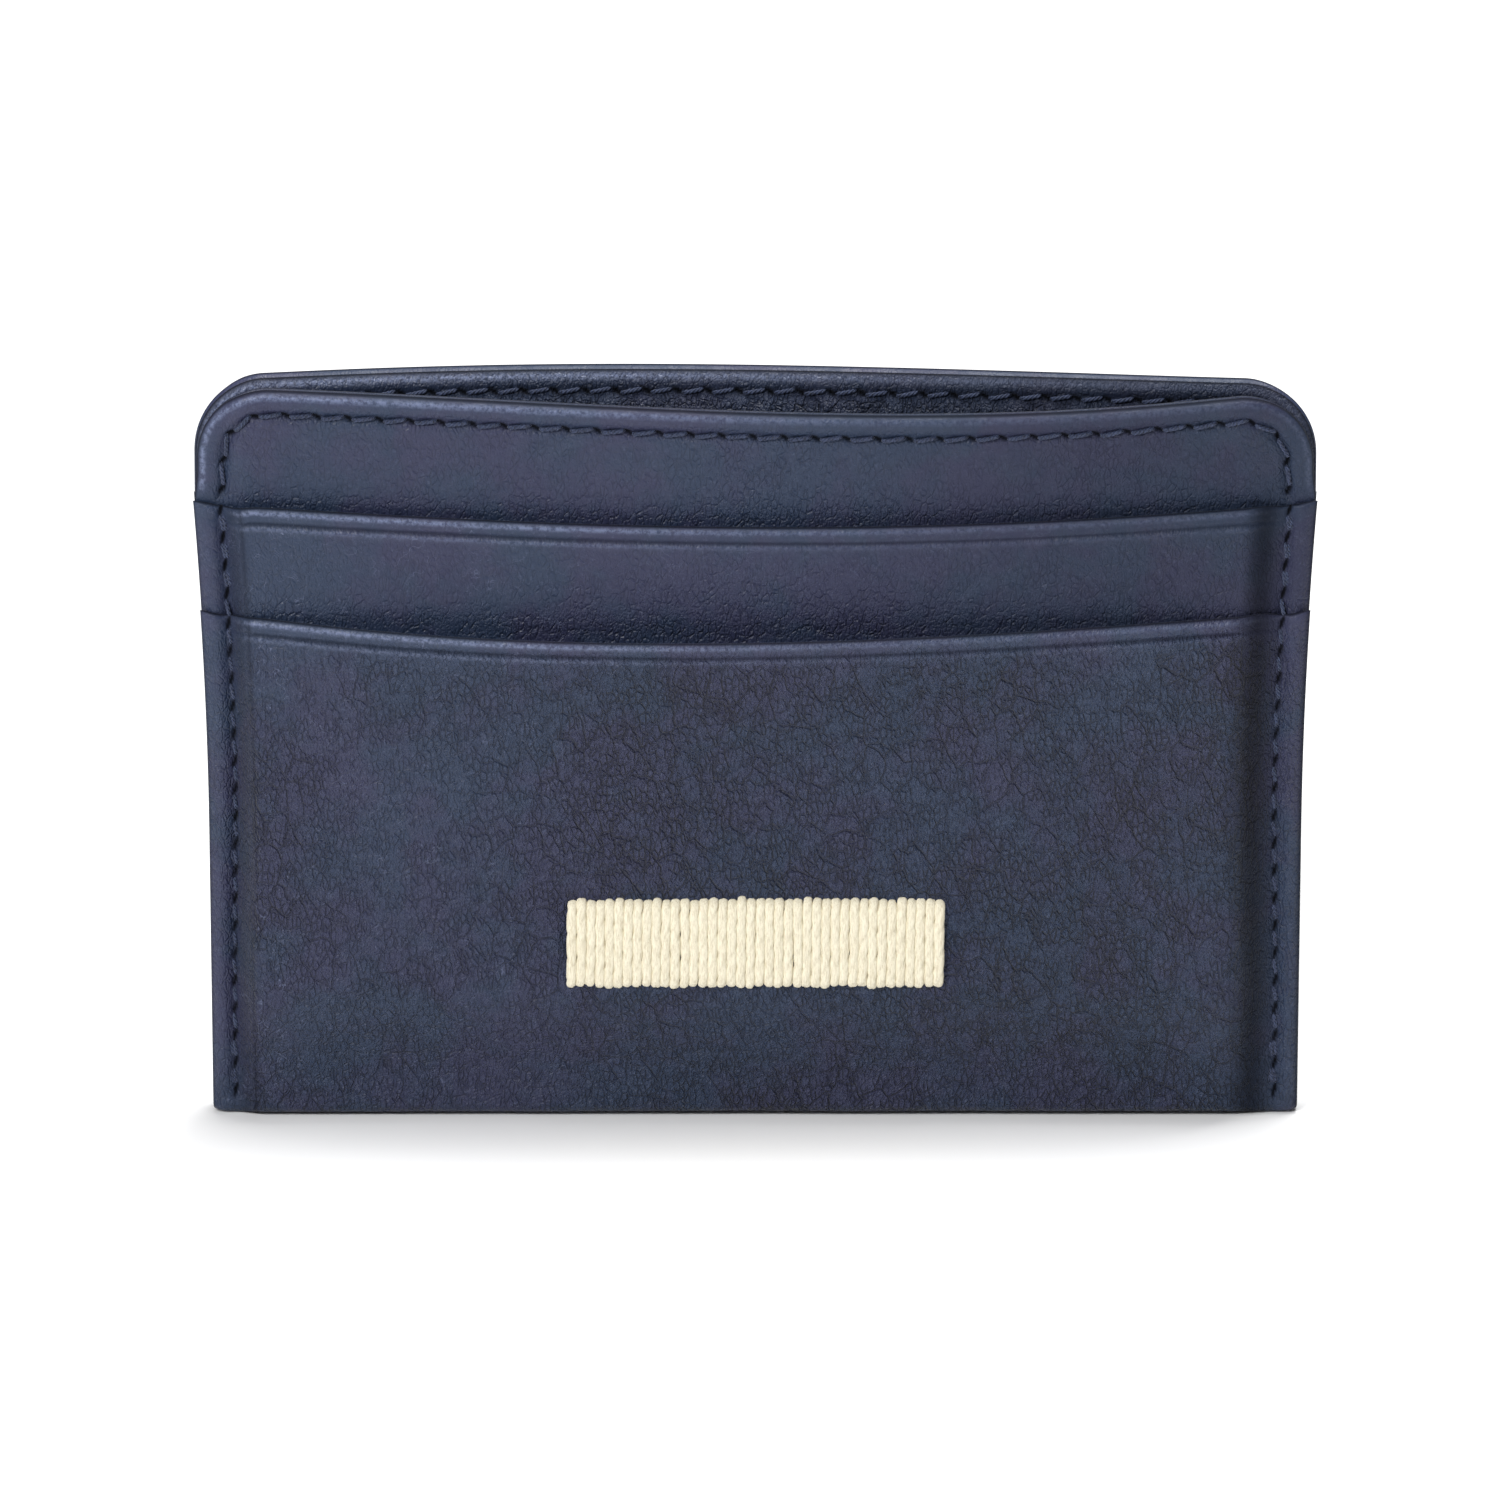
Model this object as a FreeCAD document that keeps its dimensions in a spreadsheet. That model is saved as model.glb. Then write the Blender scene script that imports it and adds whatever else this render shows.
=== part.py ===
"""A slim leather card holder with five pockets.

Two card slots face forward, two face back, and one open pocket lies between them. The outer leather
is one piece folded under the base. The row frame is +Z up, +X to the right seen from the front, and
the front faces -Y. The origin is the middle of the underside of the base fold. Millimetres.
"""

import FreeCAD, Part

import math
import os
import re

import Sketcher

V = FreeCAD.Vector

# Driving dimensions. Every object below is bound to these cells.
DIMENSIONS = {
    "width": 100.0,  # overall width at the base
    "height": 70.0,  # base to mouth edge
    "corner": 6.6,  # radius of the mouth corners
    "base_corner": 1.0,  # radius of the base corners, seen from the front
    "fold_radius": 2.0,  # outer bend radius of the base fold under the card area
    "seam_fold_radius": 1.4,  # the same under the side seams
    "flare": 1.1,  # how far each side edge leans out at the upper lip
    "flare_from": 28.0,  # height where that lean starts
    "lower_lip": 49.6,  # height of the lower pocket's lip at the side seams
    "lower_dip": 1.6,  # how far that lip dips at mid-width
    "upper_lip": 59.9,  # height of the upper pocket's lip at the side seams, where they end
    "upper_dip": 1.9,
    "mouth_dip": 1.8,  # dip of the front mouth edge at mid-width
    "mouth_rise": 0.6,  # rise of the rear mouth edge at mid-width
    "leather": 0.6,
    "lining": 0.4,  # lining leather of the middle pocket
    "textile": 0.15,  # woven lining glued to the back of each pocket
    "board": 0.2,  # bonded leather board inside each wall
    "ribbon": 0.15,  # reinforcing tape behind each lip
    "ribbon_tall": 3.0,
    "ribbon_drop": 1.0,  # from the lowest point of a lip down to its tape
    "glue": 0.02,  # clearance behind a glued layer
    "base_gap": 0.05,  # clearance between the walls and the curve of the fold under them
    "board_low": 4.0,  # height of the boards' lower edge
    "board_drop": 2.0,  # from the upper lip down to the boards' upper edge
    "lining_low": 3.0,  # height of the outer pockets' lining at its lower edge
    "slot": 0.95,  # free space in each card slot
    "middle_gap": 0.9,  # free space in the middle pocket
    "pad_half": 43.6,  # half-width of the raised card area
    "seam_half": 46.5,  # half-width where the flat seam allowance begins
    "lip_bow": 3.5,  # how far the lower front lip bows forward
    "bow_from": 28.0,  # height where that bow and the upper pockets' skived wings start
    "front_lean": 0.8,  # how far the front mouth corners stand forward
    "front_bow": 0.9,  # further bow of the front mouth edge at mid-width
    "rear_lean": 1.9,
    "rear_bow": 1.2,
    "foot": 8.5,  # height of the upper pockets' sewn feet
    "foot_tall": 2.0,
    "foot_rise": 2.5,
    "skived": 0.05,  # thickness left at the lower ends of the upper pockets' wings
    "seam_margin": 2.7,
    "stitch": 2.8,  # stitch pitch
    "stitch_gap": 0.8,  # hidden share of the pitch, inside the needle hole
    "thread": 0.4,
    "motif_wide": 34.5,
    "motif_tall": 8.4,
    "motif_high": 18.2,  # height of the embroidered band's middle
    "motif_count": 33,  # cords in the band
    "motif_proud": 0.5,
    "cord_spread": 1.04,  # a cord's width as a share of the pitch
    "backing": 0.1,
    "backing_margin": 2.0,
}

SPARE = "2"  # extra material past an outline, which the outline cut then removes
FRONT, REAR = "-", "+"

doc = FreeCAD.newDocument("CardHolder")
dims = doc.addObject("Spreadsheet::Sheet", "Dims")
for row, (alias, size) in enumerate(DIMENSIONS.items(), start=1):
    dims.set(f"A{row}", alias)
    dims.set(f"B{row}", str(size))
    dims.setAlias(f"B{row}", alias)
doc.recompute()


# ---------------------------------------------------------------- expressions and sketches


def bound(text):
    """The expression with each dimension's name turned into its spreadsheet cell."""
    return re.sub(r"[a-z_]+", lambda word: f"Dims.{word[0]}" if word[0] in DIMENSIONS else word[0], text)


def value(text):
    """The expression's present number."""
    return float(dims.evalExpression(bound(text).replace("Dims.", "")))


def draw_loop(sketch, loop):
    """Adds one closed, fully dimensioned loop.

    A loop lists its corners as (x, y) expressions. A corner with four entries, (x, y, via_x, via_y),
    is reached by an arc through the via point.
    """
    corners = [V(value(c[0]), value(c[1]), 0) for c in loop]
    ends = []
    for index, corner in enumerate(loop):
        start, end = corners[index - 1], corners[index]
        if len(corner) == 2:
            edge = sketch.addGeometry(Part.LineSegment(start, end), False)
        else:
            via = V(value(corner[2]), value(corner[3]), 0)
            edge = sketch.addGeometry(Part.Arc(start, via, end), False)
            mark = sketch.addGeometry(Part.Point(via), True)
            fix(sketch, mark, 1, corner[2], corner[3])
            sketch.addConstraint(Sketcher.Constraint("PointOnObject", mark, 1, edge))
        first = 1 if sketch.getPoint(edge, 1).distanceToPoint(start) < 1e-6 else 2
        ends.append((edge, first, 3 - first))
    for index, (edge, first, last) in enumerate(ends):
        following, its_first, _ = ends[(index + 1) % len(ends)]
        sketch.addConstraint(Sketcher.Constraint("Coincident", edge, last, following, its_first))
        fix(sketch, edge, last, loop[index][0], loop[index][1])


def fix(sketch, geometry, position, across, along):
    """Dimensions a point from the sketch's origin, bound to two expressions."""
    for kind, text in (("DistanceX", across), ("DistanceY", along)):
        number = sketch.addConstraint(
            Sketcher.Constraint(kind, -1, 1, geometry, position, value(text))
        )
        sketch.setExpression(f"Constraints[{number}]", bound(text))


def make_sketch(body, name, plane, offset, *loops):
    """A sketch on one of the body's own planes, moved along that plane's normal by offset."""
    sketch = body.newObject("Sketcher::SketchObject", name)
    support = next(f for f in body.Origin.OriginFeatures if f.Role == plane)
    sketch.AttachmentSupport = (support, [""])
    sketch.MapMode = "FlatFace"
    sketch.AttachmentOffset = FreeCAD.Placement(V(0, 0, value(offset)), FreeCAD.Rotation())
    sketch.setExpression("AttachmentOffset.Base.z", bound(offset))
    for loop in loops:
        draw_loop(sketch, loop)
    return sketch


def make_body(label):
    body = doc.addObject("PartDesign::Body", label)
    body.Label = label
    return body


def pad(body, name, sketch, length, midplane=False):
    feature = body.newObject("PartDesign::Pad", name)
    feature.Profile = sketch
    feature.setExpression("Length", bound(length))
    feature.Midplane = midplane
    return feature


def loft(body, name, sketches, ruled):
    feature = body.newObject("PartDesign::AdditiveLoft", name)
    feature.Profile = sketches[0]
    feature.Sections = sketches[1:]
    feature.Ruled = ruled
    return feature


def trim(body, name, outline):
    """Cuts away all of the body that lies outside an outline drawn on the XZ plane."""
    doc.recompute()
    before = body.Shape.Volume
    reach, top = f"width/2 + flare + 2*{SPARE}", f"height + 2*{SPARE}"
    frame = [(f"-({reach})", f"-{SPARE}"), (reach, f"-{SPARE}"), (reach, top), (f"-({reach})", top)]
    feature = body.newObject("PartDesign::Pocket", name)
    feature.Profile = make_sketch(body, name + "Outline", "XZ_Plane", "0", frame, outline)
    feature.Type = "ThroughAll"
    feature.Midplane = True
    doc.recompute()
    if not body.Shape.Volume < before:
        raise RuntimeError(f"{body.Label}: the outline cut nothing")


# ---------------------------------------------------------------- levels through the thickness

# Distances from the middle plane in the raised card area, from the inside out.
LINING_IN = "middle_gap/2"
LINING_OUT = f"{LINING_IN} + lining"
BOARD_OUT = f"{LINING_OUT} + board"
PANEL_OUT = f"{BOARD_OUT} + leather"
UPPER_LINING = f"{PANEL_OUT} + slot"
UPPER_IN = f"{UPPER_LINING} + textile"
UPPER_OUT = f"{UPPER_IN} + leather"
LOWER_LINING = f"{UPPER_OUT} + slot"
LOWER_IN = f"{LOWER_LINING} + textile"
LOWER_OUT = f"{LOWER_IN} + leather"

# The same faces in the seam allowance, where the layers are pressed together.
SEAM_LINING_OUT = "lining"
SEAM_PANEL_OUT = "lining + leather"
SEAM_UPPER_OUT = "lining + 2*leather"
SEAM_FOLD_IN = f"{SEAM_PANEL_OUT} + skived"
SEAM_FOLD_OUT = f"{SEAM_FOLD_IN} + leather"

REACH = f"width/2 + flare + {SPARE}"
LEG_TOP = f"lower_lip + {SPARE}"
UPPER_TAPE = "upper_lip - upper_dip - ribbon_drop - ribbon_tall"
LOWER_TAPE = "lower_lip - lower_dip - ribbon_drop - ribbon_tall"


def flare_at(high):
    """How far the side edge has leaned out at a height."""
    return f"flare*(({high} - flare_from)/(upper_lip - flare_from))^2"


def outline_of(lip, dip, rounded=False):
    """The outline of a layer seen from the front, clockwise from the lower left."""
    half = "width/2"
    middle = f"(({lip}) + flare_from)/2"
    lean, part_lean = flare_at(f"({lip})"), flare_at(middle)
    bevel = f"base_corner*{1 - math.sqrt(0.5)}"
    right = [
        (f"{half} - base_corner", "0"),
        (half, "base_corner", f"{half} - {bevel}", bevel),
        (half, "flare_from"),
        (f"{half} + {lean}", lip, f"{half} + {part_lean}", middle),
    ]
    if rounded:
        bevel = f"corner*{1 - math.sqrt(0.5)}"
        right += [
            (f"{half} + flare", "height - corner"),
            (
                f"{half} + flare - corner",
                "height",
                f"{half} + flare - {bevel}",
                f"height - {bevel}",
            ),
        ]
    lowest = f"height - ({dip})" if rounded else f"{lip} - ({dip})"
    return mirror_outline(right, lowest)


def mirror_outline(right, lowest):
    """Closes the right-hand half of an outline with its mirror image, joined by an arc through lowest."""
    left = []
    for index in range(len(right) - 1, -1, -1):
        across, high = right[index][:2]
        # The edge that reaches a mirrored corner is the mirror image of the edge that left it.
        leaving = right[index + 1] if index + 1 < len(right) else None
        if leaving is None:
            left.append((f"-({across})", high, "0", lowest))
        elif len(leaving) == 4:
            left.append((f"-({across})", high, f"-({leaving[2]})", leaving[3]))
        else:
            left.append((f"-({across})", high))
    return right + left


# ---------------------------------------------------------------- walls of the middle pocket


def wall_section(side, seam_in, seam_out, pad_in, pad_out, lean="0", bow=None):
    """A wall layer cut level: seam allowances, ramps and the raised middle."""

    def face(seam, raised):
        return [
            (f"-({REACH})", f"{side}({seam} + {lean})"),
            ("-seam_half", f"{side}({seam} + {lean})"),
            ("-pad_half", f"{side}({raised} + {lean})"),
            ("pad_half", f"{side}({raised} + {lean})"),
            ("seam_half", f"{side}({seam} + {lean})"),
            (REACH, f"{side}({seam} + {lean})"),
        ]

    outer, inner = face(seam_out, pad_out), face(seam_in, pad_in)[::-1]
    if bow:
        outer[3] += ("0", f"{side}({pad_out} + {lean} + {bow})")
        inner[3] += ("0", f"{side}({pad_in} + {lean} + {bow})")
    return outer + inner


def make_wall(label, side, levels, lean, bow, dip):
    """A full-height layer of one wall, flat up to the upper lip and leaning out above it."""
    body = make_body(label)
    base = "seam_fold_radius + base_gap"
    lower = make_sketch(body, "Base", "XY_Plane", base, wall_section(side, *levels))
    pad(body, "Wall", lower, f"upper_lip - ({base})")
    bend = make_sketch(body, "Bend", "XY_Plane", "upper_lip", wall_section(side, *levels))
    top = f"height + {SPARE}"
    share = f"({top} - upper_lip)/(height - upper_lip)"
    opened = wall_section(side, *levels, lean=f"{lean}*{share}", bow=f"{bow}*{share}")
    loft(body, "Mouth", [bend, make_sketch(body, "Edge", "XY_Plane", top, opened)], True)
    trim(body, "Trim", outline_of("upper_lip", dip, rounded=True))


def make_panels():
    outer = (SEAM_LINING_OUT, SEAM_PANEL_OUT, BOARD_OUT, PANEL_OUT)
    inner = ("0", SEAM_LINING_OUT, LINING_IN, LINING_OUT)
    make_wall("front_panel", FRONT, outer, "front_lean", "front_bow", "mouth_dip")
    make_wall("front_panel_lining", FRONT, inner, "front_lean", "front_bow", "mouth_dip")
    make_wall("rear_panel", REAR, outer, "rear_lean", "rear_bow", "-mouth_rise")
    make_wall("rear_panel_lining", REAR, inner, "rear_lean", "rear_bow", "-mouth_rise")


# ---------------------------------------------------------------- upper pockets


def make_upper_pocket(label, side):
    """A T-shaped pocket: a stem with a sewn foot, and wings skived thin towards their lower ends.

    The wings run out into the side seams, and thicken from a thin edge up to the lower lip.
    """
    body = make_body(label)
    foot_top, bend_top = "foot + foot_tall", "foot + foot_tall + foot_rise"
    top = f"upper_lip + {SPARE}"
    foot_in, foot_out = f"{side}({PANEL_OUT})", f"{side}({PANEL_OUT} + leather)"
    raised_in, raised_out = f"{side}({UPPER_IN})", f"{side}({UPPER_OUT})"
    seam_in, seam_out = f"{side}({SEAM_PANEL_OUT})", f"{side}({SEAM_UPPER_OUT})"
    stem = [
        (foot_out, "foot"),
        (foot_out, foot_top),
        (raised_out, bend_top),
        (raised_out, top),
        (raised_in, top),
        (raised_in, bend_top),
        (foot_in, foot_top),
        (foot_in, "foot"),
    ]
    profile = make_sketch(body, "Stem", "YZ_Plane", "0", stem)
    pad(body, "StemPad", profile, "2*pad_half", midplane=True)
    thin_out = f"{side}({SEAM_FOLD_IN})"
    wing_root = [(raised_in, "bow_from"), (raised_out, "bow_from"), (raised_out, "lower_lip")]
    wing_root += [(raised_out, top), (raised_in, top)]
    wing_seam = [(seam_in, "bow_from"), (thin_out, "bow_from"), (seam_out, "lower_lip")]
    wing_seam += [(seam_out, top), (seam_in, top)]
    for name, hand in (("Left", "-"), ("Right", "+")):
        cuts = [
            make_sketch(body, f"{name}Root", "YZ_Plane", f"{hand}pad_half", wing_root),
            make_sketch(body, f"{name}Seam", "YZ_Plane", f"{hand}seam_half", wing_seam),
            make_sketch(body, f"{name}Edge", "YZ_Plane", f"{hand}({REACH})", wing_seam),
        ]
        loft(body, f"{name}Wing", cuts, True)
    trim(body, "Trim", outline_of("upper_lip", "upper_dip"))


# ---------------------------------------------------------------- folded outer leather


def leg(level, low, high, bow="0", rise="0"):
    """One face of a front leg from low to high: upright to bow_from, then bowed or leaning forward.

    A bow is an arc that reaches bow at the lower lip. A rise is a straight lean that reaches rise there.
    """

    def at(height):
        share = f"((({height}) - bow_from)/(lower_lip - bow_from))"
        return f"-({level} + ({bow})*{share}^2 + ({rise})*{share})"

    bend = low if value(low) > value("bow_from") else "bow_from"
    points = [] if bend == low else [(f"-({level})", low)]
    if high == bend:
        return points + [(at(high), high)]
    top = (at(high), high)
    if bow != "0":
        middle = f"(({high}) + ({bend}))/2"
        top += (at(middle), middle)
    return points + [(at(bend), bend), top]


def turned(points):
    """The same run of corners the other way round, each arc kept on its own edge."""
    back = [points[-1][:2]]
    for index in range(len(points) - 1, 0, -1):
        back.append(points[index - 1][:2] + points[index][2:])
    return back


def rearward(points):
    """The mirror image of a run of corners, behind the middle plane."""
    return [tuple(f"-({c})" if place % 2 == 0 else c for place, c in enumerate(point)) for point in points]


def fold_section(outer, inner, radius, rise, front_top=LEG_TOP):
    """The outer leather cut across: front leg, rear leg and the base fold between them."""
    bevel = f"{radius}*{1 - math.sqrt(0.5)}"
    inner_bevel = f"({radius} - leather)*{1 - math.sqrt(0.5)}"
    flat_out, flat_in = f"{outer} - {radius}", f"{inner} - ({radius} - leather)"
    front = leg(outer, radius, front_top, rise=rise)
    front[0] += (f"-({outer} - {bevel})", bevel)
    rear = rearward(leg(outer, radius, LEG_TOP, rise=rise))
    inside = [
        (f"-({flat_in})", "leather", f"-({inner} - {inner_bevel})", f"leather + {inner_bevel}"),
        (flat_in, "leather"),
        (inner, radius, f"{inner} - {inner_bevel}", f"leather + {inner_bevel}"),
    ]
    outside = [(flat_out, "0", f"{outer} - {bevel}", bevel), (f"-({flat_out})", "0")]
    inner_rear = rearward(leg(inner, radius, LEG_TOP, rise=rise))[1:]
    inner_front = turned(leg(inner, radius, front_top, rise=rise))
    return front + inner_front + inside + inner_rear + turned(rear) + outside


BOWED_STATIONS = (("Left", "-pad_half", "0"), ("Middle", "0", "lip_bow"), ("Right", "pad_half", "0"))


def add_bowed_leg(body, name, inner, outer, low, high):
    """A layer whose front bows forward towards the lower lip, most at mid-width."""
    cuts = []
    for place, across, bow in BOWED_STATIONS:
        section = leg(outer, low, high, bow) + turned(leg(inner, low, high, bow))
        cuts.append(make_sketch(body, f"{name}{place}", "YZ_Plane", across, section))
    loft(body, name, cuts, False)


def make_outer_leather():
    """The outer pockets: one leather piece folded under the base, raised between the side seams."""
    body = make_body("outer_leather")
    fold = fold_section(LOWER_OUT, LOWER_IN, "fold_radius", "0", "bow_from")
    pad(body, "FoldPad", make_sketch(body, "Fold", "YZ_Plane", "0", fold), "2*pad_half", midplane=True)
    add_bowed_leg(body, "FrontLeg", LOWER_IN, LOWER_OUT, "bow_from", LEG_TOP)
    raised = fold_section(LOWER_OUT, LOWER_IN, "fold_radius", "0")
    pressed = fold_section(SEAM_FOLD_OUT, SEAM_FOLD_IN, "seam_fold_radius", "leather - skived")
    for name, hand in (("Left", "-"), ("Right", "+")):
        cuts = [
            make_sketch(body, f"{name}Root", "YZ_Plane", f"{hand}pad_half", raised),
            make_sketch(body, f"{name}Seam", "YZ_Plane", f"{hand}seam_half", pressed),
            make_sketch(body, f"{name}Edge", "YZ_Plane", f"{hand}({REACH})", pressed),
        ]
        loft(body, f"{name}Allowance", cuts, True)
    trim(body, "Trim", outline_of("lower_lip", "lower_dip"))


def make_bowed_sheet(label, inner, outer, low, high):
    """A thin layer that follows the back of the bowed front leg."""
    add_bowed_leg(make_body(label), "Sheet", inner, outer, low, high)


def make_front_pocket_backing():
    """The woven lining behind the lower front pocket, and the tape behind its lip."""
    low, high = LOWER_TAPE, f"{LOWER_TAPE} + ribbon_tall"
    outer = f"{LOWER_IN} - glue"
    make_bowed_sheet("front_lower_pocket_lining", LOWER_LINING, outer, "lining_low", f"{low} - glue")
    make_bowed_sheet("front_lower_lip_tape", f"{LOWER_IN} - ribbon", outer, low, high)


# ---------------------------------------------------------------- flat layers


def make_sheet(label, side, inner, thickness, half, low, high):
    """A flat rectangular layer whose inner face lies at a level in front of or behind the middle plane."""
    sheet = doc.addObject("Part::Box", label)
    sheet.Label = label
    sheet.setExpression("Length", bound(f"2*({half})"))
    sheet.setExpression("Width", bound(thickness))
    sheet.setExpression("Height", bound(f"({high}) - ({low})"))
    sheet.setExpression("Placement.Base.x", bound(f"-({half})"))
    near = f"-({inner} + {thickness})" if side == FRONT else inner
    sheet.setExpression("Placement.Base.y", bound(near))
    sheet.setExpression("Placement.Base.z", bound(low))


def make_pocket_backing(name, side, inner, low, tape):
    """The woven lining glued behind a flat pocket, and the tape above it behind the lip."""
    make_sheet(f"{name}_pocket_lining", side, inner, "textile", "pad_half", low, tape)
    make_sheet(f"{name}_lip_tape", side, inner, "ribbon", "pad_half", tape, f"{tape} + ribbon_tall")


def make_flat_layers():
    board_top = "upper_lip - board_drop"
    for name, side in (("front", FRONT), ("rear", REAR)):
        make_sheet(f"{name}_wall_board", side, LINING_OUT, "board", "pad_half", "board_low", board_top)
        bend_top = "foot + foot_tall + foot_rise"
        make_pocket_backing(f"{name}_upper", side, UPPER_LINING, bend_top, UPPER_TAPE)
    make_pocket_backing("rear_lower", REAR, LOWER_LINING, "lining_low", LOWER_TAPE)
    make_sheet(
        "embroidery_backing",
        FRONT,
        f"{LOWER_LINING} - backing",
        "backing",
        "motif_wide/2 + backing_margin",
        "motif_high - motif_tall/2 - backing_margin",
        "motif_high + motif_tall/2 + backing_margin",
    )


# ---------------------------------------------------------------- embroidered band


def make_embroidery():
    """A plain band of upright satin-stitch cords, side by side on the front pocket."""
    body = make_body("embroidered_band")
    pitch = "motif_wide/motif_count"
    radius = f"{pitch}*cord_spread/2"
    start, surface = f"-motif_wide/2 + {pitch}/2", f"-({LOWER_OUT})"
    section = [
        (f"{start} + {radius}", surface),
        (f"{start} - {radius}", surface, start, f"{surface} - motif_proud"),
    ]
    cord = make_sketch(body, "Cord", "XY_Plane", "motif_high - motif_tall/2", section)
    first = pad(body, "CordPad", cord, "motif_tall")
    doc.recompute()
    row = body.newObject("PartDesign::LinearPattern", "Cords")
    row.Originals = [first]
    row.Direction = (cord, ["H_Axis"])
    row.setExpression("Length", bound(f"motif_wide - {pitch}"))
    row.setExpression("Occurrences", bound("motif_count"))
    body.Tip = row


# ---------------------------------------------------------------- seam threads


THREAD_CLEARANCE = 0.03  # between a stitch and the face it lies on
CORNER_STEPS = 6  # straight runs that a line of stitches takes round a mouth corner


def bow_share(across):
    """How much of a mouth edge's bow there is at a distance from mid-width."""
    return max(0.0, 1 - (across / value("pad_half")) ** 2)


def face_level(across, high, seam, raised, lean, bow):
    """Distance of a wall face from the middle plane at a point of the wall."""
    inset = (value("seam_half") - abs(across)) / (value("seam_half") - value("pad_half"))
    inset = min(max(inset, 0.0), 1.0)
    level = value(seam) + inset * (value(raised) - value(seam))
    rise = max(0.0, high - value("upper_lip")) / (value("height") - value("upper_lip"))
    return level + rise * (value(lean) + value(bow) * bow_share(across))


def evenly_spaced(path):
    """Needle holes along a path of (across, high) points, at the stitch pitch."""
    wire = Part.makePolygon([V(x, 0, z) for x, z in path])
    count = max(2, round(wire.Length / value("stitch")) + 1)
    return wire.discretize(Number=count)


def floats(holes, side, level):
    """One short bar for each stitch lying on a face; level gives that face's distance."""
    sign = -1 if side == FRONT else 1
    radius = value("thread") / 2
    hidden = value("stitch_gap") / 2
    bars = []
    for start, end in zip(holes, holes[1:]):
        ends = [V(p.x, sign * (level(p.x, p.z) + radius + THREAD_CLEARANCE), p.z) for p in (start, end)]
        along = (ends[1] - ends[0]).normalize()
        length = ends[0].distanceToPoint(ends[1]) - 2 * hidden
        bars.append(Part.makeCylinder(radius, length, ends[0] + along * hidden, along))
    return bars


def add_thread(label, bars):
    """Stitch bars follow curved seams on bowed faces, so their solids are placed one by one."""
    thread = doc.addObject("Part::Feature", label)
    thread.Label = label
    thread.Shape = Part.makeCompound(bars)


def seam_across(high):
    """Half-width of the side seam line at a height."""
    lean = value(flare_at("upper_lip")) * max(0.0, (high - value("flare_from"))) ** 2
    span = (value("upper_lip") - value("flare_from")) ** 2
    return value("width/2 - seam_margin") + min(lean / span, value("flare"))


def mouth_path():
    """The line of the mouth stitching, from the left side seam round both corners to the right."""
    margin = value("seam_margin")
    radius = value("corner") - margin
    half = seam_across(value("upper_lip"))
    top = value("height") - margin
    centre = V(half - radius, 0, top - radius)
    right = [(half, value("upper_lip + stitch_gap"))]
    for step in range(CORNER_STEPS + 1):
        angle = math.radians(90 * step / CORNER_STEPS)
        right.append((centre.x + radius * math.cos(angle), centre.z + radius * math.sin(angle)))
    return [(-x, z) for x, z in right] + right[::-1]


def make_mouth_thread(label, side, lean, bow, dip):
    """Stitches on both faces of a wall, following its mouth edge.

    The inner row is left out low on the sides, where the two walls still touch.
    """
    half = value("width/2 + flare - corner")
    holes = [
        V(p.x, 0, p.z - dip * max(0.0, 1 - (p.x / half) ** 2)) for p in evenly_spaced(mouth_path())
    ]
    depth = value("thread") + 2 * THREAD_CLEARANCE

    def outside(across, high):
        return face_level(across, high, SEAM_PANEL_OUT, PANEL_OUT, lean, bow)

    def inside(across, high):
        return face_level(across, high, "0", LINING_IN, lean, bow) - depth

    open_run = [p for p in holes if inside(p.x, p.z) > 2 * THREAD_CLEARANCE]
    add_thread(label, floats(holes, side, outside) + floats(open_run, side, inside))


def make_side_thread(label, hand):
    """A side seam through every layer: stitches on the front face and on the rear face."""
    low, high = value("seam_margin"), value("upper_lip - stitch_gap")
    count = round((high - low) / value("stitch"))
    lip = value("lower_lip")
    heights = [low + (high - low) * step / count for step in range(count + 1)]
    holes = [V(hand * seam_across(z), 0, z) for z in heights]

    def level(across, height):
        if height > lip:
            return value(SEAM_UPPER_OUT)
        share = max(0.0, height - value("bow_from")) / (lip - value("bow_from"))
        return value(SEAM_FOLD_OUT) + value("leather - skived") * share

    bars = []
    for start, end in zip(holes, holes[1:]):
        if (start.z - lip) * (end.z - lip) > 0:  # no stitch straddles the lower lip's edge
            bars += floats([start, end], FRONT, level) + floats([start, end], REAR, level)
    add_thread(label, bars)


def make_foot_thread(label, side):
    """The row that closes the upper pocket's foot, hidden behind the outer pocket."""
    high = value("foot + foot_tall/2")
    reach = value("pad_half - foot_tall")
    holes = evenly_spaced([(-reach, high), (reach, high)])
    add_thread(label, floats(holes, side, lambda x, z: value(f"{PANEL_OUT} + leather")))


def make_threads():
    make_mouth_thread("front_mouth_seam_thread", FRONT, "front_lean", "front_bow", value("mouth_dip"))
    make_mouth_thread("rear_mouth_seam_thread", REAR, "rear_lean", "rear_bow", -value("mouth_rise"))
    make_side_thread("left_side_seam_thread", -1)
    make_side_thread("right_side_seam_thread", 1)
    make_foot_thread("front_pocket_foot_thread", FRONT)
    make_foot_thread("rear_pocket_foot_thread", REAR)


# ---------------------------------------------------------------- checks and files


def check_objects():
    """Stops if any object failed to build."""
    doc.recompute()
    for item in doc.Objects:
        if "Invalid" in item.State or "Error" in item.State:
            raise RuntimeError(f"{item.Label} failed: {item.State}")


def sub_parts():
    kinds = ("PartDesign::Body", "Part::Box", "Part::Feature")
    return [item for item in doc.Objects if item.TypeId in kinds]


def write_parts():
    os.makedirs("parts", exist_ok=True)
    for item in sub_parts():
        if item.Shape.isNull() or not item.Shape.isValid():
            raise RuntimeError(f"{item.Label} has no valid shape")
        item.Shape.exportStep(f"parts/{item.Label}.step")
        print(f"{item.Label}: {len(item.Shape.Solids)} solids, {item.Shape.Volume:.1f} mm3")


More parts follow.
